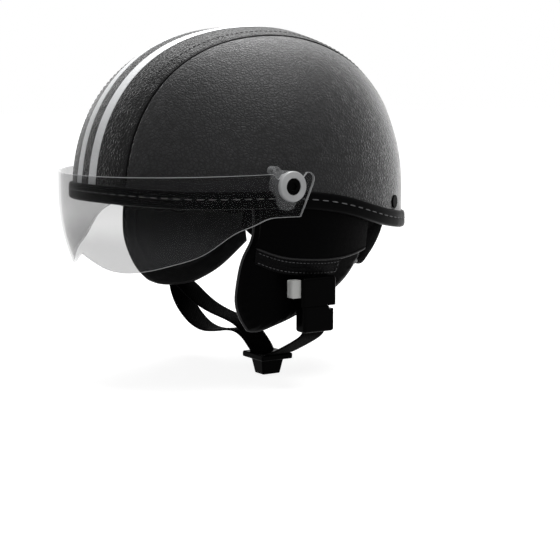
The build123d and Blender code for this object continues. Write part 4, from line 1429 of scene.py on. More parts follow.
@dataclass
class RimTrim(DomeAssembly):
    """The U-shaped trim round the rim, with its stitch row."""

    profile: tuple = (
        (0.02, 12.9), (0.9, 13.1), (1.7, 12.7), (2.2, 11.9), (2.42, 10.6), (2.5, 8.8), (2.32, 7.9), (2.18, 7.4),
        (2.32, 6.9), (2.5, 6.0), (2.5, 3.4), (2.3, 1.7), (1.5, 0.6), (0.2, 0.06), (-3.0, 0.0), (-5.6, 0.05),
        (-6.9, 0.5), (-7.4, 1.4), (-7.45, 4.5), (-7.3, 7.4), (-6.6, 8.0), (-5.9, 7.6), (-5.4, 6.6), (-5.3, 2.7),
        (-2.5, 2.5), (0.02, 2.7),
    )
    stitch_height: float = 7.4
    stitch_proud: float = 2.42
    stitch_pitch: float = 8.5
    stitch_length: float = 5.6
    stitch_radius: float = 0.42
    sections: int = 360
    turned: float = 0.001
    girth: float = 50.0
    length: float = 800.0
    stitch_steps: int = 1440

    def points(self, azimuth: Array, proud: Array, lift: Array) -> Array:
        """Points at a lift over the rim and proud of the leatherette.

        Args:
            azimuth: turns about Z, in radians.
            proud: distance outside the leatherette.
            lift: height over the rim.

        Returns:
            The points.
        """
        z = self.dome.rim(self.dome.y_at(azimuth, self.dome.half_width + proud)) + lift
        return self.dome.around(azimuth, self.dome.reach(z) + proud, z)

    def build(self) -> None:
        """Sweeps the profile round the rim and lays the stitches in its groove."""
        turn = np.linspace(-math.pi, math.pi, self.sections + 1)[:-1] + self.turned
        proud, lift = np.array(self.profile).T
        grid = self.points(turn[:, None], proud[None, :], lift[None, :])
        girth, run = np.linspace(0, self.girth, len(proud)), np.linspace(0, self.length, self.sections)
        trim = hoop(grid, girth[None, :], run[:, None]).piece("rim_trim", sharp=60)
        self.shop.dress(trim, Finish.RUBBER, "rubber", stands_for=("edge_trim",))
        dense = np.linspace(-math.pi, math.pi, self.stitch_steps + 1)
        line = self.points(dense, np.full_like(dense, self.stitch_proud), np.full_like(dense, self.stitch_height))
        places, ahead = evenly(line, self.stitch_pitch)
        row = stitch_row(places, ahead, unit(places * LEVELLED), self.stitch_length, self.stitch_radius)
        self.shop.dress(row.piece("trim_stitches"), Finish.GREY_THREAD, "rubber")


# ---------------------------------------------------------------- padding


@dataclass
class Padding(DomeAssembly):
    """Headband, crown pad and nape curtain. Grids are rows by columns."""

    band_grid: tuple = (360, 40)
    band_mid: float = 31.6
    band_half: float = 4.0
    band_low: float = -4.0
    band_high: float = 26.0
    band_length: float = 600.0
    band_girth: float = 70.0
    channels: int = 11
    channel_depth_share: float = 0.42
    channel_spread: float = 0.006
    lump_share: float = 0.07
    oval_power: float = 0.8
    hem_sway: tuple = (1.2, 0.8)
    follow_dome: float = 0.004
    pad_steps: int = 61
    pad_low: float = 58.0
    pad_lift: float = 3.0
    pad_margin: float = 1.5
    pad_round: float = 7.0
    pad_seam_width: float = 4.0
    pad_seam_share: float = 0.5
    pad_top_share: float = 0.9
    curtain_grid: tuple = (45, 181)
    curtain_rounds: int = 8
    curtain_guess: float = -30.0
    curtain_front: float = 51.0
    curtain_lift: float = 9.0
    curtain_reach: float = 103.0
    curtain_thickness: float = 10.0
    curtain_round: float = 5.5
    curtain_low: tuple = ((50.0, -39.9), (57.7, -50.8), (74.6, -58.1), (97.7, -60.5))
    full_share: float = 0.96
    hem_folds: float = 0.5
    fold_count: int = 26
    fold_share: float = 0.95
    fold_spread: float = 0.03
    slow_folds: float = 0.35
    fold_fade: float = 8.0
    piped_rows: tuple = (6, 6)
    piping_radius: float = 1.2
    lean_from: float = -13.0
    lean_radius: float = 93.0
    lean_scale: float = 60.2 * 2.35

    def lean(self, z: Array) -> Array:
        """How far the curtain leans in at a height: a drawn-out arc that starts upright at lean_from."""
        drop = np.minimum(z - self.lean_from, 0) / self.lean_radius
        return self.lean_scale * (1 - np.sqrt(np.clip(1 - drop**2, 0, 1)))

    def headband(self) -> None:
        """A closed ring: an oval section pinched at sewn channels, its hems swaying as two sine waves."""
        rows, columns = self.band_grid
        a = np.linspace(-math.pi, math.pi, rows + 1)[:-1, None]
        b = np.linspace(0, 2 * math.pi, columns + 1)[None, :-1]
        pinch = np.exp(-((np.mod(a * self.channels / math.pi, 1) - 0.5) ** 2) / self.channel_spread)
        lumps = 1 - self.lump_share + self.lump_share * np.sin(a * 17 + 1)
        thick = self.band_half * (1 - self.channel_depth_share * pinch) * lumps
        half = (self.band_high - self.band_low) / 2
        down = half * np.sign(np.sin(b)) * np.abs(np.sin(b)) ** self.oval_power
        sway = self.hem_sway[0] * np.sin(a * 13) + self.hem_sway[1] * np.sin(a * 29 + 2)
        down = down + np.where(down < 0, 1.0, 0.2) * sway * (np.abs(down) / half) ** 3
        radius = self.dome.half_width - self.band_mid + thick * np.cos(b)
        z = self.dome.rim(self.dome.y_at(a, radius)) + (self.band_high + self.band_low) / 2 + down
        grid = self.dome.around(a, radius - np.maximum(z, 0) ** 2 * self.follow_dome, z)
        run, girth = np.linspace(0, self.band_length, rows), np.linspace(0, self.band_girth, columns)
        made = hoop(grid, run[:, None], girth[None, :]).piece("brow_band", ALL_SMOOTH)
        band = self.shop.dress(made, Finish.LINING, "pad_cloth", stands_for=("headband",))

    def crown_pad(self) -> None:
        """A square grid drawn onto a disc and laid under the dome, dimpled where its cross seams run."""
        a, b = np.meshgrid(2 * crowded(self.pad_steps) - 1, 2 * crowded(self.pad_steps) - 1, indexing="ij")
        u, v = a * np.sqrt(1 - b**2 / 2), b * np.sqrt(1 - a**2 / 2)
        limit = float(self.dome.reach(np.array(self.pad_low + self.pad_lift), self.band_mid)) - self.pad_margin
        radius = np.hypot(u, v) * limit
        grid = self.dome.around(np.arctan2(v, u), radius, self.dome.height(radius, self.band_mid))
        normals = grid_normals(grid, np.array([0.0, 0.0, 1.0]))
        swell = self.band_half * round_over(border_distance(grid, grid_border(grid)), self.pad_round)
        seam = np.minimum(np.abs(u + v), np.abs(u - v)) * limit
        under = swell * (1 - self.pad_seam_share * bell(seam, self.pad_seam_width))
        over = swell * self.pad_top_share
        made = pillow(grid + normals * over[..., None], grid - normals * under[..., None])
        both = (Finish.LINING, Finish.LINING)
        pad = self.shop.dress(made.piece("crown_cushion", ALL_SMOOTH), both, "pad_cloth", stands_for=("crown_pad",))

    def curtain(self) -> None:
        """A padded sheet round the nape: rows from under the trim down to its low line, at leaning radii."""
        rows, columns = self.curtain_grid
        stretched = self.dome.rear_reach / self.dome.half_width
        ends = math.asin(self.curtain_front / (self.curtain_reach * stretched))
        turn = (ends + (math.pi - 2 * ends) * crowded(columns))[None, :]
        share = crowded(rows)[:, None]
        knots, lows = np.array(self.curtain_low).T
        middle = self.curtain_reach - self.curtain_thickness / 2
        z = np.full((rows, columns), self.curtain_guess)
        for _ in range(self.curtain_rounds):
            radius = middle - self.lean(z)
            y = np.sin(turn) * radius * stretched
            top = self.dome.rim(y) + self.curtain_lift
            z = top + (np.interp(y, knots, lows) - top) * share
        grid = self.dome.around(turn, radius, z)
        normals = grid_normals(grid, grid * LEVELLED)
        away = border_distance(grid, grid_border(grid))
        swell = self.curtain_thickness / 2 * round_over(away, self.curtain_round)
        near_hem = np.exp(-((share - self.fold_share) ** 2) / self.fold_spread)
        folds = self.hem_folds * np.sin(turn * self.fold_count) * near_hem
        folds = folds + self.slow_folds * np.sin(turn * 9 + share * 4)
        out = swell * self.full_share + folds * np.clip(away / self.fold_fade, 0, 1)
        made = pillow(grid + normals * out[..., None], grid - normals * (swell * self.full_share)[..., None])
        looks = (Finish.CURTAIN, Finish.LINING)
        made = made.piece("nape_cushion", ALL_SMOOTH)
        curtain = self.shop.dress(made, looks, "pad_cloth", stands_for=("nape_curtain",))
        hem, away_hem = (hanging_edge(of, *self.piped_rows) for of in (grid, normals))
        piping = bead(hem, away_hem, self.piping_radius)
        self.shop.dress(piping.piece("nape_piping"), Finish.WELT, "pad_cloth")

    def build(self) -> None:
        """Builds the padding, and paints the foam."""
        self.headband()
        self.crown_pad()
        self.curtain()
        self.shop.paint(Finish.FOAM, "foam_liner")


# ---------------------------------------------------------------- ear flaps


@dataclass
class EarFlap(DomeAssembly):
    """One ear flap: pad, outer skin with its piped hem, stitched belt loop and the webbing yoke."""

    side: Side
    top_lift: float = 9.2
    rear_y: float = 49.5
    front_edge: tuple = (
        (-51.0, 4.0), (-48.6, -20.0), (-49.6, -30.5), (-53.0, -39.7), (-55.2, -52.0), (-55.4, -63.0), (-54.4, -75.0),
        (-51.0, -85.0), (-46.5, -92.6), (-42.3, -98.2),
    )
    foot_edge: tuple = (
        (-42.3, -98.2), (-37.0, -98.9), (-26.0, -95.5), (-13.6, -90.3), (6.0, -80.0), (24.0, -70.1), (37.0, -61.0),
        (49.5, -46.0),
    )
    far_front_edge: tuple = (
        (-58.0, 4.0), (-67.0, -16.0), (-69.0, -28.0), (-69.5, -38.0), (-67.0, -49.0), (-61.5, -61.0), (-54.0, -70.5),
        (-47.0, -76.3),
    )
    far_foot_edge: tuple = (
        (-47.0, -76.3), (-36.8, -80.2), (-25.4, -82.1), (-14.2, -82.8), (-0.6, -81.4), (11.3, -77.5), (23.5, -71.6),
        (33.8, -64.2), (49.5, -50.0),
    )
    hem_line: tuple = (
        (-124.0, -10.0), (-70.0, -26.0), (-50.4, -34.9), (-33.5, -41.4), (-11.8, -44.8), (12.4, -45.8), (30.0, -44.3),
        (50.0, -40.0),
    )
    skin_grid: tuple = (40, 60)
    skin_start: float = -56.0
    skin_back: float = 6.0
    skin_depth: float = 7.8
    skin_thickness: float = 1.5
    skin_rounds: int = 6
    pad_grid: tuple = (91, 101)
    pad_depth: float = 11.6
    pad_thickness: float = 8.8
    pad_round: float = 6.0
    puckers: int = 46
    pucker_middle: tuple = (-10.0, -50.0)
    pucker_height: float = 0.35
    pucker_inset: float = 4.0
    pucker_spread: float = 8.0
    hollow_middle: tuple = (-8.0, -62.0)
    hollow_width: tuple = (30.0, 14.0)
    hollow_depth: float = 0.9
    hollow_fade: float = 10.0
    channel_inset: float = 13.0
    channel_depth: float = 1.4
    channel_spread: float = 3.0
    back_waves: float = 0.6
    back_wave: float = 9.0
    back_fade: float = 8.0
    piped_rows: tuple = (4, 21)
    pad_piping: float = 1.25
    hem_piping: float = 0.95
    hem_piping_proud: float = 0.1
    hem_piping_ends: tuple = (0.8, 0.5)
    hem_piping_steps: int = 90
    loop_grid: tuple = (16, 60)
    loop_depth: float = 6.9
    loop_thickness: float = 1.5
    loop_height: float = 10.2
    loop_drop: float = 0.9
    loop_front: float = -50.2
    loop_rear: float = 20.8
    loop_rake: float = 2.8
    loop_corner: float = 1.8
    corner_share: float = 0.75
    loop_sag: float = 0.6
    loop_swell: float = 0.9
    swell_middle: float = -4.0
    swell_width: float = 12.0
    loop_ribs: float = 0.22
    loop_creases: float = 0.1
    crease_length: float = 2.7
    loop_stitches: tuple = (3.0, 2.2, 0.3)
    stitch_drops: tuple = (1.6, 8.8)
    stitch_depth: float = 0.02
    stitch_ends: tuple = (1.0, 1.2)
    rear_stitches: tuple = (1.6, 3.0)
    outward: tuple = (1.0, 0.6, 0.0)
    web_grid: tuple = (40, 9)
    web_depth: float = 9.6
    web_width: float = 19.6
    web_thickness: float = 1.5
    web_proud: float = 0.4
    web_gap: float = 0.02
    web_meet: tuple = (-4.0, -38.0)
    front_leg: tuple = ((-37.5, 11.0), (-20.0, -14.0))
    rear_leg: tuple = ((75.0, -6.0), (30.0, -24.5))
    down_leg: tuple = ((-4.0, -30.0), (-4.0, -45.0), (-4.0, -60.9))
    lean_from: float = 17.3
    lean_radius: float = 322.8

    def lean(self, z: Array) -> Array:
        """How far the flap leans in: an arc that starts upright at lean_from."""
        return self.lean_radius - np.sqrt(self.lean_radius**2 - np.minimum(z - self.lean_from, 0) ** 2)

    def lay(self, y: Array, z: Array, inset: Array | float) -> Array:
        """Points of a layer at a depth, from their side view: x = sqrt((R - inset - lean)^2 - (y / share)^2).

        Args:
            y: places from the brow to the nape.
            z: heights.
            inset: depth under the dome's outer surface.

        Returns:
            The points.
        """
        radius = self.dome.half_width - inset - self.lean(z)
        x = np.sqrt(np.maximum(radius**2 - (y / self.dome.share(y)) ** 2, 1.0))
        return np.stack(np.broadcast_arrays(self.side.value * x, y, z), axis=-1)

    def hem(self, y: Array) -> Array:
        """Height of the skin's hem at a Y."""
        return held_spline(self.hem_line, y)

    def front(self, z: Array) -> Array:
        """Y of the front edge at a height."""
        return held_spline(self.outline()[0][::-1, ::-1], z)

    def outline(self) -> tuple[Array, Array]:
        """Front edge and foot of this side's flap; the right one hangs freely, a little forward and tucked up.

        Returns:
            Points of the front edge and of the foot, as Y and Z.
        """
        if self.side is Side.LEFT:
            return np.array(self.front_edge), np.array(self.foot_edge)
        return np.array(self.far_front_edge), np.array(self.far_foot_edge)

    def patch(self, u: Array, v: Array) -> tuple[Array, Array]:
        """Coons patch in the side view: ruled between top and foot, plus ruled between front and rear, less corners.

        Args:
            u: 0 at the front edge, 1 at the rear.
            v: 0 at the top, 1 at the foot.

        Returns:
            Y and Z.
        """
        front_points, foot_points = self.outline()
        start = front_points[0, 0]
        top_y = start + (self.rear_y - start) * u
        top = np.stack([top_y, self.dome.rim(top_y) + self.top_lift], axis=-1)
        foot = curve_through(foot_points, u)
        front_points[0, 1] = top[0, 1]
        fore = curve_through(front_points, v)
        rear_low = foot_points[-1, 1]
        rear_top = float(self.dome.rim(np.array(self.rear_y))) + self.top_lift
        aft = np.stack([np.full_like(v, self.rear_y), rear_top + (rear_low - rear_top) * v], axis=-1)
        uu, vv = u[None, :, None], v[:, None, None]
        grid = (1 - vv) * top[None] + vv * foot[None] + (1 - uu) * fore[:, None] + uu * aft[:, None]
        grid -= (1 - uu) * ((1 - vv) * fore[0] + vv * fore[-1]) + uu * ((1 - vv) * aft[0] + vv * aft[-1])
        return grid[..., 0], grid[..., 1]

    def pad(self) -> None:
        """Padded leaf: thickness falls to nothing at its outline as a quarter ellipse does, with puckers."""
        rows, columns = self.pad_grid
        y, z = self.patch(crowded(columns), crowded(rows))
        middle = self.pad_depth + self.pad_thickness / 2
        grid = self.lay(y, z, middle)
        away = border_distance(grid, grid_border(grid))
        swell = self.pad_thickness / 2 * round_over(away, self.pad_round)
        angle = np.arctan2(z - self.pucker_middle[1], y - self.pucker_middle[0])
        near_edge = np.exp(-((away - self.pucker_inset) ** 2) / self.pucker_spread)
        pucker = self.pucker_height * np.sin(angle * self.puckers) * near_edge
        offsets = (y - self.hollow_middle[0], z - self.hollow_middle[1])
        hollow = self.hollow_depth * bell(offsets[0], self.hollow_width[0]) * bell(offsets[1], self.hollow_width[1])
        out = self.lay(y, z, middle - swell - pucker + hollow * np.clip(away / self.hollow_fade, 0, 1))
        channel = self.channel_depth * np.exp(-((away - self.channel_inset) ** 2) / self.channel_spread)
        quilting = channel + self.back_waves * np.abs(np.sin(y / self.back_wave))
        back = self.lay(y, z, middle + swell - quilting * np.clip(away / self.back_fade, 0, 1))
        word = self.side.word
        made = pillow(out, back).piece(f"flap_leaf_{word}", ALL_SMOOTH)
        # The leaf's inner face takes the flap lining, whose pale grey is a painted reflection.
        leaf = self.shop.dress(made, (Finish.FLAP, Finish.INNER), "pad_cloth", stands_for=(f"ear_flap_{word}",))
        normals = grid_normals(grid, grid * np.array([1.0, 0.0, 0.0]))
        edge, away_edge = (hanging_edge(of, *self.piped_rows) for of in (grid, normals))
        piping = bead(edge, away_edge, self.pad_piping).piece(f"flap_piping_{word}")
        self.shop.dress(piping, Finish.PIPING, "leatherette")

    def skin(self) -> None:
        """Outer skin: Y runs from the front edge to the rear at each height, Z from the top to the hem."""
        rows, columns = self.skin_grid
        u, v = stops(columns)[None, :], stops(rows)[:, None]
        y = self.skin_start + (self.rear_y - self.skin_start) * u + 0 * v
        for _ in range(self.skin_rounds):
            top = self.dome.rim(y) + self.top_lift
            z = top + (self.hem(y) - top) * v
            fore = self.front(z) + self.skin_back * (self.side is Side.RIGHT)
            y = fore + (self.rear_y - fore) * u
        word = self.side.word
        made = slab(self.lay(y, z, self.skin_depth), self.lay(y, z, self.skin_depth + self.skin_thickness))
        made = made.piece(f"flap_outer_{word}")
        self.shop.dress(made, Finish.FLAP, "leatherette", stands_for=(f"flap_skin_{word}",))
        fore, aft = self.hem_piping_ends
        hem_y = np.linspace(float(y[-1, 0]) + fore, self.rear_y - aft, self.hem_piping_steps)
        line = self.lay(hem_y, self.hem(hem_y) + self.hem_piping_proud, self.skin_depth + self.hem_piping_proud)
        cord = bead(line, line * np.array(self.outward), self.hem_piping)
        self.shop.dress(cord.piece(f"hem_piping_{word}"), Finish.PIPING, "leatherette")

    def loop(self) -> None:
        """Belt loop: a band under the hem that swells a little over the webbing, with its stitches."""
        word = self.side.word
        rows, columns = self.loop_grid
        u, v = stops(columns)[None, :], stops(rows)[:, None]
        corner = self.loop_corner * np.clip((v - self.corner_share) / (1 - self.corner_share), 0, 1) ** 2
        rear = self.loop_rear - self.loop_rake * v - corner
        y = self.loop_front + (rear - self.loop_front) * u
        z = self.hem(y) - self.loop_drop - self.loop_height * v - self.loop_sag * np.sin(u * math.pi) * v
        swell = self.loop_swell * bell(y - self.swell_middle, self.swell_width) * np.sin(np.clip(v, 0, 1) * math.pi)
        creases = self.loop_creases * np.sin(y / self.crease_length + v * 3)
        ribs = self.loop_ribs * np.sin(v * 3 * math.pi) ** 2 + creases
        outer = self.lay(y, z, self.loop_depth - swell + ribs)
        made = slab(outer, self.lay(y, z, self.loop_depth + self.loop_thickness)).piece(f"loop_band_{word}")
        self.shop.dress(made, Finish.BAND, "leatherette", stands_for=(f"belt_loop_{word}",))
        depth = self.loop_depth - self.stitch_depth
        lines = []
        for drop in self.stitch_drops:
            end = self.loop_rear - self.stitch_ends[1] - self.loop_rake * drop / self.loop_height
            line_y = np.linspace(self.loop_front + self.stitch_ends[0], end, 120)
            lines.append(self.lay(line_y, self.hem(line_y) - self.loop_drop - drop, depth))
        in_from_rear, top = self.rear_stitches
        rear_z = np.linspace(-top, -self.loop_height, 20)
        rear_y = self.loop_rear - in_from_rear + self.loop_rake * rear_z / self.loop_height
        lines.append(self.lay(rear_y, self.hem(rear_y) + rear_z, depth))
        pitch, length, radius = self.loop_stitches
        for index, line in enumerate(lines):
            places, ahead = evenly(line, pitch)
            row = stitch_row(places, ahead, places * np.array(self.outward), length, radius)
            self.shop.dress(row.piece(f"loop_stitch_{word}_{index}"), Finish.GREY_THREAD, "leatherette")

    def web(self, points: tuple, depth: float, name: str, stands_for: tuple = ()) -> None:
        """A flat strap in the side view: a strip of one width along its middle line.

        Args:
            points: the middle line's Y and Z.
            depth: how deep its outer face lies.
            name: the piece's name.
            stands_for: CAD nodes that it replaces.
        """
        rows, columns = self.web_grid
        line = curve_through(np.array(points), np.linspace(0, 1, rows))
        ahead = unit(np.gradient(line, axis=0))
        normal = np.stack([-ahead[:, 1], ahead[:, 0]], axis=1)
        width = (stops(columns, 0.03) - 0.5) * self.web_width
        flat = line[:, None] + normal[:, None] * width[None, :, None]
        outer, inner = (self.lay(flat[..., 0], flat[..., 1], depth + under) for under in (0, self.web_thickness / 2))
        made = slab(outer, inner)
        cloth = cloth_pairs(width[None, :], arc_lengths(outer[:, len(width) // 2])[:, None])
        made.cloth = np.concatenate([cloth, cloth])
        self.shop.dress(made.piece(name), Finish.WEBBING, "webbing", stands_for=stands_for)

    def build(self) -> None:
        """Builds the flap and its yoke: two legs that meet, and the length that hangs from there."""
        word = self.side.word
        self.pad()
        self.skin()
        self.loop()
        over = self.web_depth + self.web_thickness / 2 + self.web_gap
        self.web(self.front_leg + (self.web_meet,), over, f"yoke_front_{word}")
        self.web(self.rear_leg + (self.web_meet,), self.web_depth, f"yoke_rear_{word}")
        self.web(self.down_leg, self.web_depth - self.web_proud, f"yoke_foot_{word}", (f"yoke_{word}",))


# ---------------------------------------------------------------- visor


@dataclass
class FlipVisor(Assembly):
    """The clear visor with its nose notch, bored over its pivots."""

    reach: float = 119.6
    middle_y: float = -31.0
    thickness: float = 2.0
    lean_radius: float = 138.05
    low_edge: tuple = (
        (-28.5, -11.0), (-45.6, -11.0), (-54.1, -11.9), (-63.9, -16.2), (-77.3, -22.2), (-94.4, -36.8),
        (-110.3, -45.0), (-126.2, -51.9), (-144.5, -54.0), (-152.0, -54.4),
    )
    notch: tuple = ((0.0, -41.6), (10.0, -45.2), (20.0, -49.0), (30.0, -51.9), (40.0, -52.9))
    top_front: float = 17.0
    top_rear: float = 20.8
    dip: float = 4.0
    dips_y: tuple = (-47.0, -29.4)
    dip_width: float = 2.2
    top_run: float = 131.1
    rear_edge: tuple = (
        (-11.0, -28.4), (-9.0, -27.6), (5.0, -21.2), (11.8, -18.1), (15.0, -17.1), (17.4, -17.2), (19.4, -18.6),
        (20.6, -20.8),
    )
    pivot: tuple = (-37.5, 11.0)
    bore: float = 7.3
    bore_sides: int = 64
    bore_reach: float = 140.0
    foot_rounds: int = 12
    front_columns: int = 150
    side_columns: int = 16
    rows: int = 44

    def drop_in(self, z: Array) -> Array:
        """How far the visor leans in below z = 0, by an arc."""
        return self.lean_radius - np.sqrt(self.lean_radius**2 - np.minimum(z, 0) ** 2)

    def plan(self, run: Array, z: Array, inset: float) -> Array:
        """Points at a run from the middle: a half circle of azimuths up to 1, then straight back from 1 to 2.

        Args:
            run: 0 at the front, 1 where the circle ends, 2 at the rear edge; negative on the right.
            z: heights.
            inset: depth under the outer face.

        Returns:
            The points.
        """
        radius = self.reach - inset - self.drop_in(z)
        turn = np.clip(np.abs(run), 0, 1) * math.pi / 2
        knots, backs = np.array(self.rear_edge).T
        straight = np.interp(z, knots, backs) - self.middle_y
        x = np.sign(run) * radius * np.sin(turn)
        y = self.middle_y - radius * np.cos(turn) + np.maximum(np.abs(run) - 1, 0) * straight
        return np.stack(np.broadcast_arrays(x, y, z), axis=-1)

    def foot(self, run: Array) -> Array:
        """Height of the low edge along the run, the higher of the side line and the nose notch.

        Args:
            run: places along the visor, as plan takes them.

        Returns:
            The heights.
        """
        notch_end = self.notch[-1][0]
        z = np.full_like(run, self.notch[0][1])
        for _ in range(self.foot_rounds):
            points = self.plan(run, z, 0.0)
            side_line = held_spline(self.low_edge[::-1], points[..., 1])
            bite = held_spline(self.notch, np.abs(points[..., 0]))
            z = np.where(np.abs(points[..., 0]) < notch_end, np.maximum(side_line, bite), side_line)
        return z

    def build(self) -> None:
        """Makes the wall between two grids and bores it for the hubs; the top edge dips round each pivot base."""
        half = np.concatenate([np.linspace(0, 1, self.front_columns), 1 + stops(self.side_columns, 0.03)[1:]])
        run = np.concatenate([-half[:0:-1], half])
        low = self.foot(run)
        front_y = self.plan(run, np.zeros_like(run), 0.0)[..., 1]
        back = np.clip((front_y - (self.middle_y - self.reach)) / self.top_run, 0, 1)
        high = self.top_front + (self.top_rear - self.top_front) * back
        for dip_y in self.dips_y:
            high = high - self.dip * bell(front_y - dip_y, self.dip_width)
        z = low + (high - low) * stops(self.rows, 0.007)[:, None]
        outer, inner = (self.plan(run[None, :], z, inset) for inset in (0.0, self.thickness))
        # The border faces take a pale finish: a painted highlight along the visor's edge.
        piece = slab(outer, inner, painted_edge=True).piece("visor_shield", sharp=60)
        self.bore_through(piece)
        self.shop.dress(piece, (Finish.CLEAR, Finish.CLEAR_EDGE_HIGHLIGHT), "clear", "visor", ("visor",))
        self.shop.let_light_by(piece)

    def bore_through(self, piece: Piece) -> None:
        """Cuts the pivot holes with one cylinder through both sides, and keeps the result as the mesh.

        Args:
            piece: the visor's wall.
        """
        count = self.bore_sides
        ring = ring_of(self.bore, count) + np.array(self.pivot)
        points = np.concatenate([np.insert(ring, 0, x, axis=1) for x in (self.bore_reach, -self.bore_reach)])
        a = np.arange(count)
        sides = np.stack([a, (a + 1) % count, (a + 1) % count + count, a + count], 1).tolist()
        caps = [list(range(count))[::-1], list(range(count, 2 * count))]
        cutter = Build(points, sides + caps).piece("pivot_bore_cutter")
        cut = piece.modifiers.new("pivot_bores", "BOOLEAN")
        cut.operation, cut.solver, cut.object = "DIFFERENCE", "EXACT", cutter
        graph = bpy.context.evaluated_depsgraph_get()
        bored = bpy.data.meshes.new_from_object(piece.evaluated_get(graph))
        piece.modifiers.clear()
        piece.data = bored
        bpy.data.objects.remove(cutter)


@dataclass
class Hardware(Assembly):
    """Pivots, rivets, stud, buckle and slider, whose CAD shapes stay."""

    looks: tuple = (
        (Finish.FROSTED, ("visor_base_left", "visor_base_right")),
        (Finish.CUP, ("knob_left", "knob_right")),
        (
            Finish.STEEL,
            ("washer_left", "washer_right", "pivot_nut_left", "pivot_nut_right", "rivet_washers", "button_spring"),
        ),
        (Finish.BLACK_STEEL, ("pivot_screw_left", "pivot_screw_right", "strap_rivets")),
        (Finish.CHROME, ("stud_ring",)),
        (
            Finish.GLOSS,
            ("stud_cap", "buckle_housing", "latch_pawl", "buckle_tongue", "strap_adjuster", "chin_slider"),
        ),
        (Finish.BUTTON, ("release_button",)),
    )

    def build(self) -> None:
        """Paints each node."""
        for look, nodes in self.looks:
            self.shop.paint(look, *nodes)


# ---------------------------------------------------------------- chin straps


@dataclass
class ChinStraps(Assembly):
    """The three runs of chin webbing, each a strip along a curve in the front view.

    A strap is its two ends in X and Z, and the places between them as shares of the span.
    """

    middle_y: float = -4.0
    width: float = 19.8
    thickness: float = 1.6
    left: tuple = (
        (101.6, -93.25), (44.0, -125.35),
        ((0.01, 0.12), (0.09, 0.28), (0.27, 0.45), (0.52, 0.66), (0.75, 0.84), (0.90, 0.93), (0.97, 0.96)),
    )
    right: tuple = (
        (-100.3, -79.35), (32.3, -125.35),
        (
            (0.02, 0.08), (0.10, 0.14), (0.23, 0.30), (0.36, 0.41), (0.51, 0.48), (0.66, 0.515), (0.77, 0.56),
            (0.86, 0.65), (0.94, 0.80), (0.99, 0.92),
        ),
    )
    tail: tuple = (
        (-102.9, -79.35), (29.7, -125.35),
        (
            (0.01, 0.12), (0.03, 0.28), (0.09, 0.49), (0.18, 0.66), (0.29, 0.79), (0.42, 0.84), (0.56, 0.79),
            (0.69, 0.71), (0.80, 0.68), (0.89, 0.75), (0.95, 0.86), (0.995, 0.95),
        ),
    )
    left_steps: int = 180
    right_steps: int = 220
    split_x: float = 75.0
    still_share: float = 0.45

    def route(self, strap: tuple) -> Array:
        """Points of a strap's middle line in X and Z, from its shares of the span."""
        start, end, shares = (np.array(x, float) for x in strap)
        return np.concatenate([start[None], start + shares * (end - start), end[None]])

    def spot(self, place: Array) -> tuple[float, float, float]:
        """A place on the middle line, in metres, from its X and Z."""
        return (place[0] * MM, self.middle_y * MM, place[1] * MM)

    def strip(self, line: Array, name: str) -> Piece:
        """Carries a flat oval across the line: the width lies along Y, the thickness across the line.

        Args:
            line: the middle line's X and Z.
            name: the piece's name.

        Returns:
            The strap.
        """
        path = np.stack([line[:, 0], np.full(len(line), self.middle_y), line[:, 1]], axis=1)
        up = np.cross(np.array([0.0, 1.0, 0.0]), unit(np.gradient(path, axis=0)))
        across = np.array([-1, -0.94, -0.8, -0.4, 0, 0.4, 0.8, 0.94, 1]) * self.width / 2
        rise = np.array([0.35, 0.85, 1, 0.97, 1, 0.97, 1, 0.85, 0.35]) * self.thickness / 2
        outline = np.concatenate([np.stack([across, rise], 1), np.stack([across, -rise], 1)[::-1]])
        made = sweep(path, up, outline)
        made.cloth = cloth_pairs(outline[:, 0][None, :], arc_lengths(path)[:, None])
        return made.piece(name)

    def build(self) -> None:
        """Builds the straps, each left unattached; the left one is made as two lengths."""
        whole = hung_curve(self.route(self.left), np.linspace(0, 1, self.left_steps + 1))
        cut = int(np.argmin(np.abs(whole[:, 0] - self.split_x)))
        for line, word, body, end, stands_for in (
            (whole[: cut + 1], "upper", "tongue", whole[0], ("chin_strap_left",)),
            (whole[cut:], "lower", "slider", whole[-1], ()),
        ):
            strap = self.strip(line, f"chin_webbing_left_{word}")
            self.shop.dress(strap, Finish.WEBBING, "webbing", None, stands_for)
            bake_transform(strap)
        for word, strap_line in (("right", self.right), ("tail", self.tail)):
            line = hung_curve(self.route(strap_line), np.linspace(0, 1, self.right_steps + 1))
            strap = self.strip(line, f"chin_webbing_{word}")
            self.shop.dress(strap, Finish.WEBBING, "webbing", None, (f"chin_strap_{word}",))
            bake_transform(strap)


# ---------------------------------------------------------------- studio


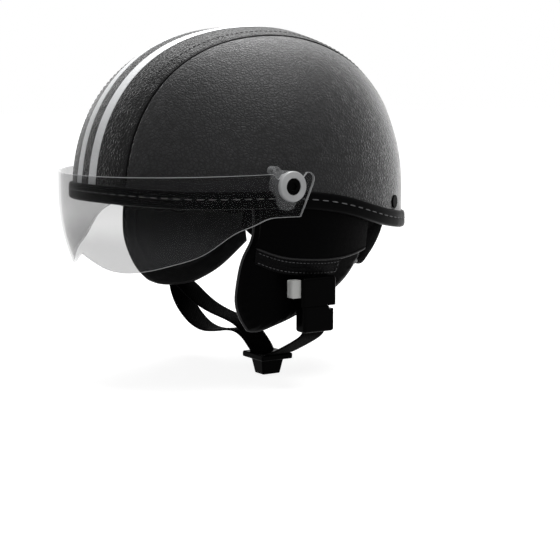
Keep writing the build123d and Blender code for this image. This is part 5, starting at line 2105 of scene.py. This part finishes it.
@dataclass
class Studio:
    """Plain pale floor, soft lights and the camera at the photograph's angle. Lengths in metres.

    A lamp is its name, place, width and depth, and power.
    """

    azimuth: float = 57.96
    elevation: float = 4.0
    distance: float = 1.111
    lens: float = 90.0
    sensor: float = 36.0
    shift: tuple = (0.0605, -0.1607)
    clip: tuple = (0.05, 30.0)
    floor_z: float = -0.1412
    floor_reach: float = 12.0
    floor_paint: tuple = (0.3, 0.3, 0.3, 1)
    glow_near: float = 0.88
    glow_far: float = 1.0
    glow_over: tuple = (0.35, 1.3)
    white: tuple = (1, 1, 1, 1)
    sky_unseen: float = 0.18
    sky_seen: float = 1.0
    lamps: tuple = (
        ("overhead_box", (0.3, 0.2, 1.2), (0.7, 0.9), 21.0),
        ("crown_box", (-0.55, 0.35, 1.0), (0.8, 0.8), 15.0),
        ("camera_side_box", (1.25, -0.75, 0.8), (0.4, 0.4), 3.0),
        ("brow_box", (-0.5, -1.5, 0.6), (0.5, 0.8), 1.3),
    )

    def stand(self, name: str, data: bpy.types.ID, place: Vector) -> Piece:
        """Links an object at a place, turned to look at the origin.

        Args:
            name: the object's name.
            data: its camera or lamp.
            place: where it stands.

        Returns:
            The object.
        """
        made = bpy.data.objects.new(name, data)
        made.location = place
        made.rotation_euler = (-place).to_track_quat("-Z", "Y").to_euler()
        bpy.context.scene.collection.objects.link(made)
        return made

    def camera(self) -> None:
        """Stands the camera off along the fitted direction, with the photograph's framing as a shift."""
        turn, lift = math.radians(self.azimuth), math.radians(self.elevation)
        back = Vector((math.sin(turn) * math.cos(lift), -math.cos(turn) * math.cos(lift), math.sin(lift)))
        made = self.stand("camera", bpy.data.cameras.new("camera"), back * self.distance)
        made.data.lens, made.data.sensor_width = self.lens, self.sensor
        made.data.shift_x, made.data.shift_y = self.shift
        made.data.clip_start, made.data.clip_end = self.clip
        bpy.context.scene.camera = made

    def floor(self) -> None:
        """A wide pale floor that keeps the shadow and goes to white for the camera, gloss and clear plastic."""
        mesh = bpy.data.meshes.new("studio_floor")
        far = self.floor_reach
        corners = [(x, y, self.floor_z) for x, y in ((-far, -far), (far, -far), (far, far), (-far, far))]
        mesh.from_pydata(corners, [], [[0, 1, 2, 3]])
        made = bpy.data.objects.new("studio_floor", mesh)
        bpy.context.scene.collection.objects.link(made)
        paint = Shading("floor_paint")
        paint.put(Base_Color=self.floor_paint, Roughness=0.9, Specular_IOR_Level=0.05)
        away = paint.node("ShaderNodeVectorMath", {0: paint.place(Space.OBJECT)}, operation="LENGTH")
        level = paint.stretch(away.outputs["Value"], *self.glow_over, self.glow_near, self.glow_far)
        strength = paint.mix(Join.PRODUCT, paint.seen(), level)
        glow = paint.node("ShaderNodeEmission", {"Color": self.white, "Strength": strength})
        both = paint.node("ShaderNodeAddShader", {0: paint.shader.outputs["BSDF"], 1: glow.outputs["Emission"]})
        paint.feed(paint.tree.nodes["Material Output"].inputs["Surface"], both.outputs["Shader"])
        mesh.materials.append(paint.material)

    def world(self) -> None:
        """White behind everything that is seen, and a softer sky for the light."""
        made = bpy.data.worlds.new("studio_air")
        made.use_nodes = True
        bpy.context.scene.world = made
        bench = Bench(made.node_tree)
        sky = bench.tree.nodes["Background"].inputs
        sky["Color"].default_value = self.white
        bench.feed(sky["Strength"], bench.stretch(bench.seen(), 0.0, 1.0, self.sky_unseen, self.sky_seen))

    def lights(self) -> None:
        """Area lamps that face the helmet."""
        for name, place, size, power in self.lamps:
            lamp = bpy.data.lights.new(name, "AREA")
            lamp.shape, lamp.size, lamp.size_y, lamp.energy = "RECTANGLE", size[0], size[1], power
            self.stand(name, lamp, Vector(place))

    def build(self) -> None:
        """Sets the whole studio up."""
        bpy.context.scene.view_settings.view_transform = "Standard"
        self.camera()
        self.floor()
        self.world()
        self.lights()


def main() -> None:
    """Builds the studio, then every sub-assembly in order."""
    logging.basicConfig(level=logging.INFO, format="%(message)s")
    Studio().build()
    shop, dome = Workshop(), Dome()
    for kind in (Covers, RimTrim, Padding):
        kind(shop, dome).build()
    for side in Side:
        EarFlap(shop, dome, side).build()
    for kind in (FlipVisor, Hardware, ChinStraps):
        kind(shop).build()
    LOG.info("%d pieces made", shop.count)


if __name__ == "__main__":
    main()
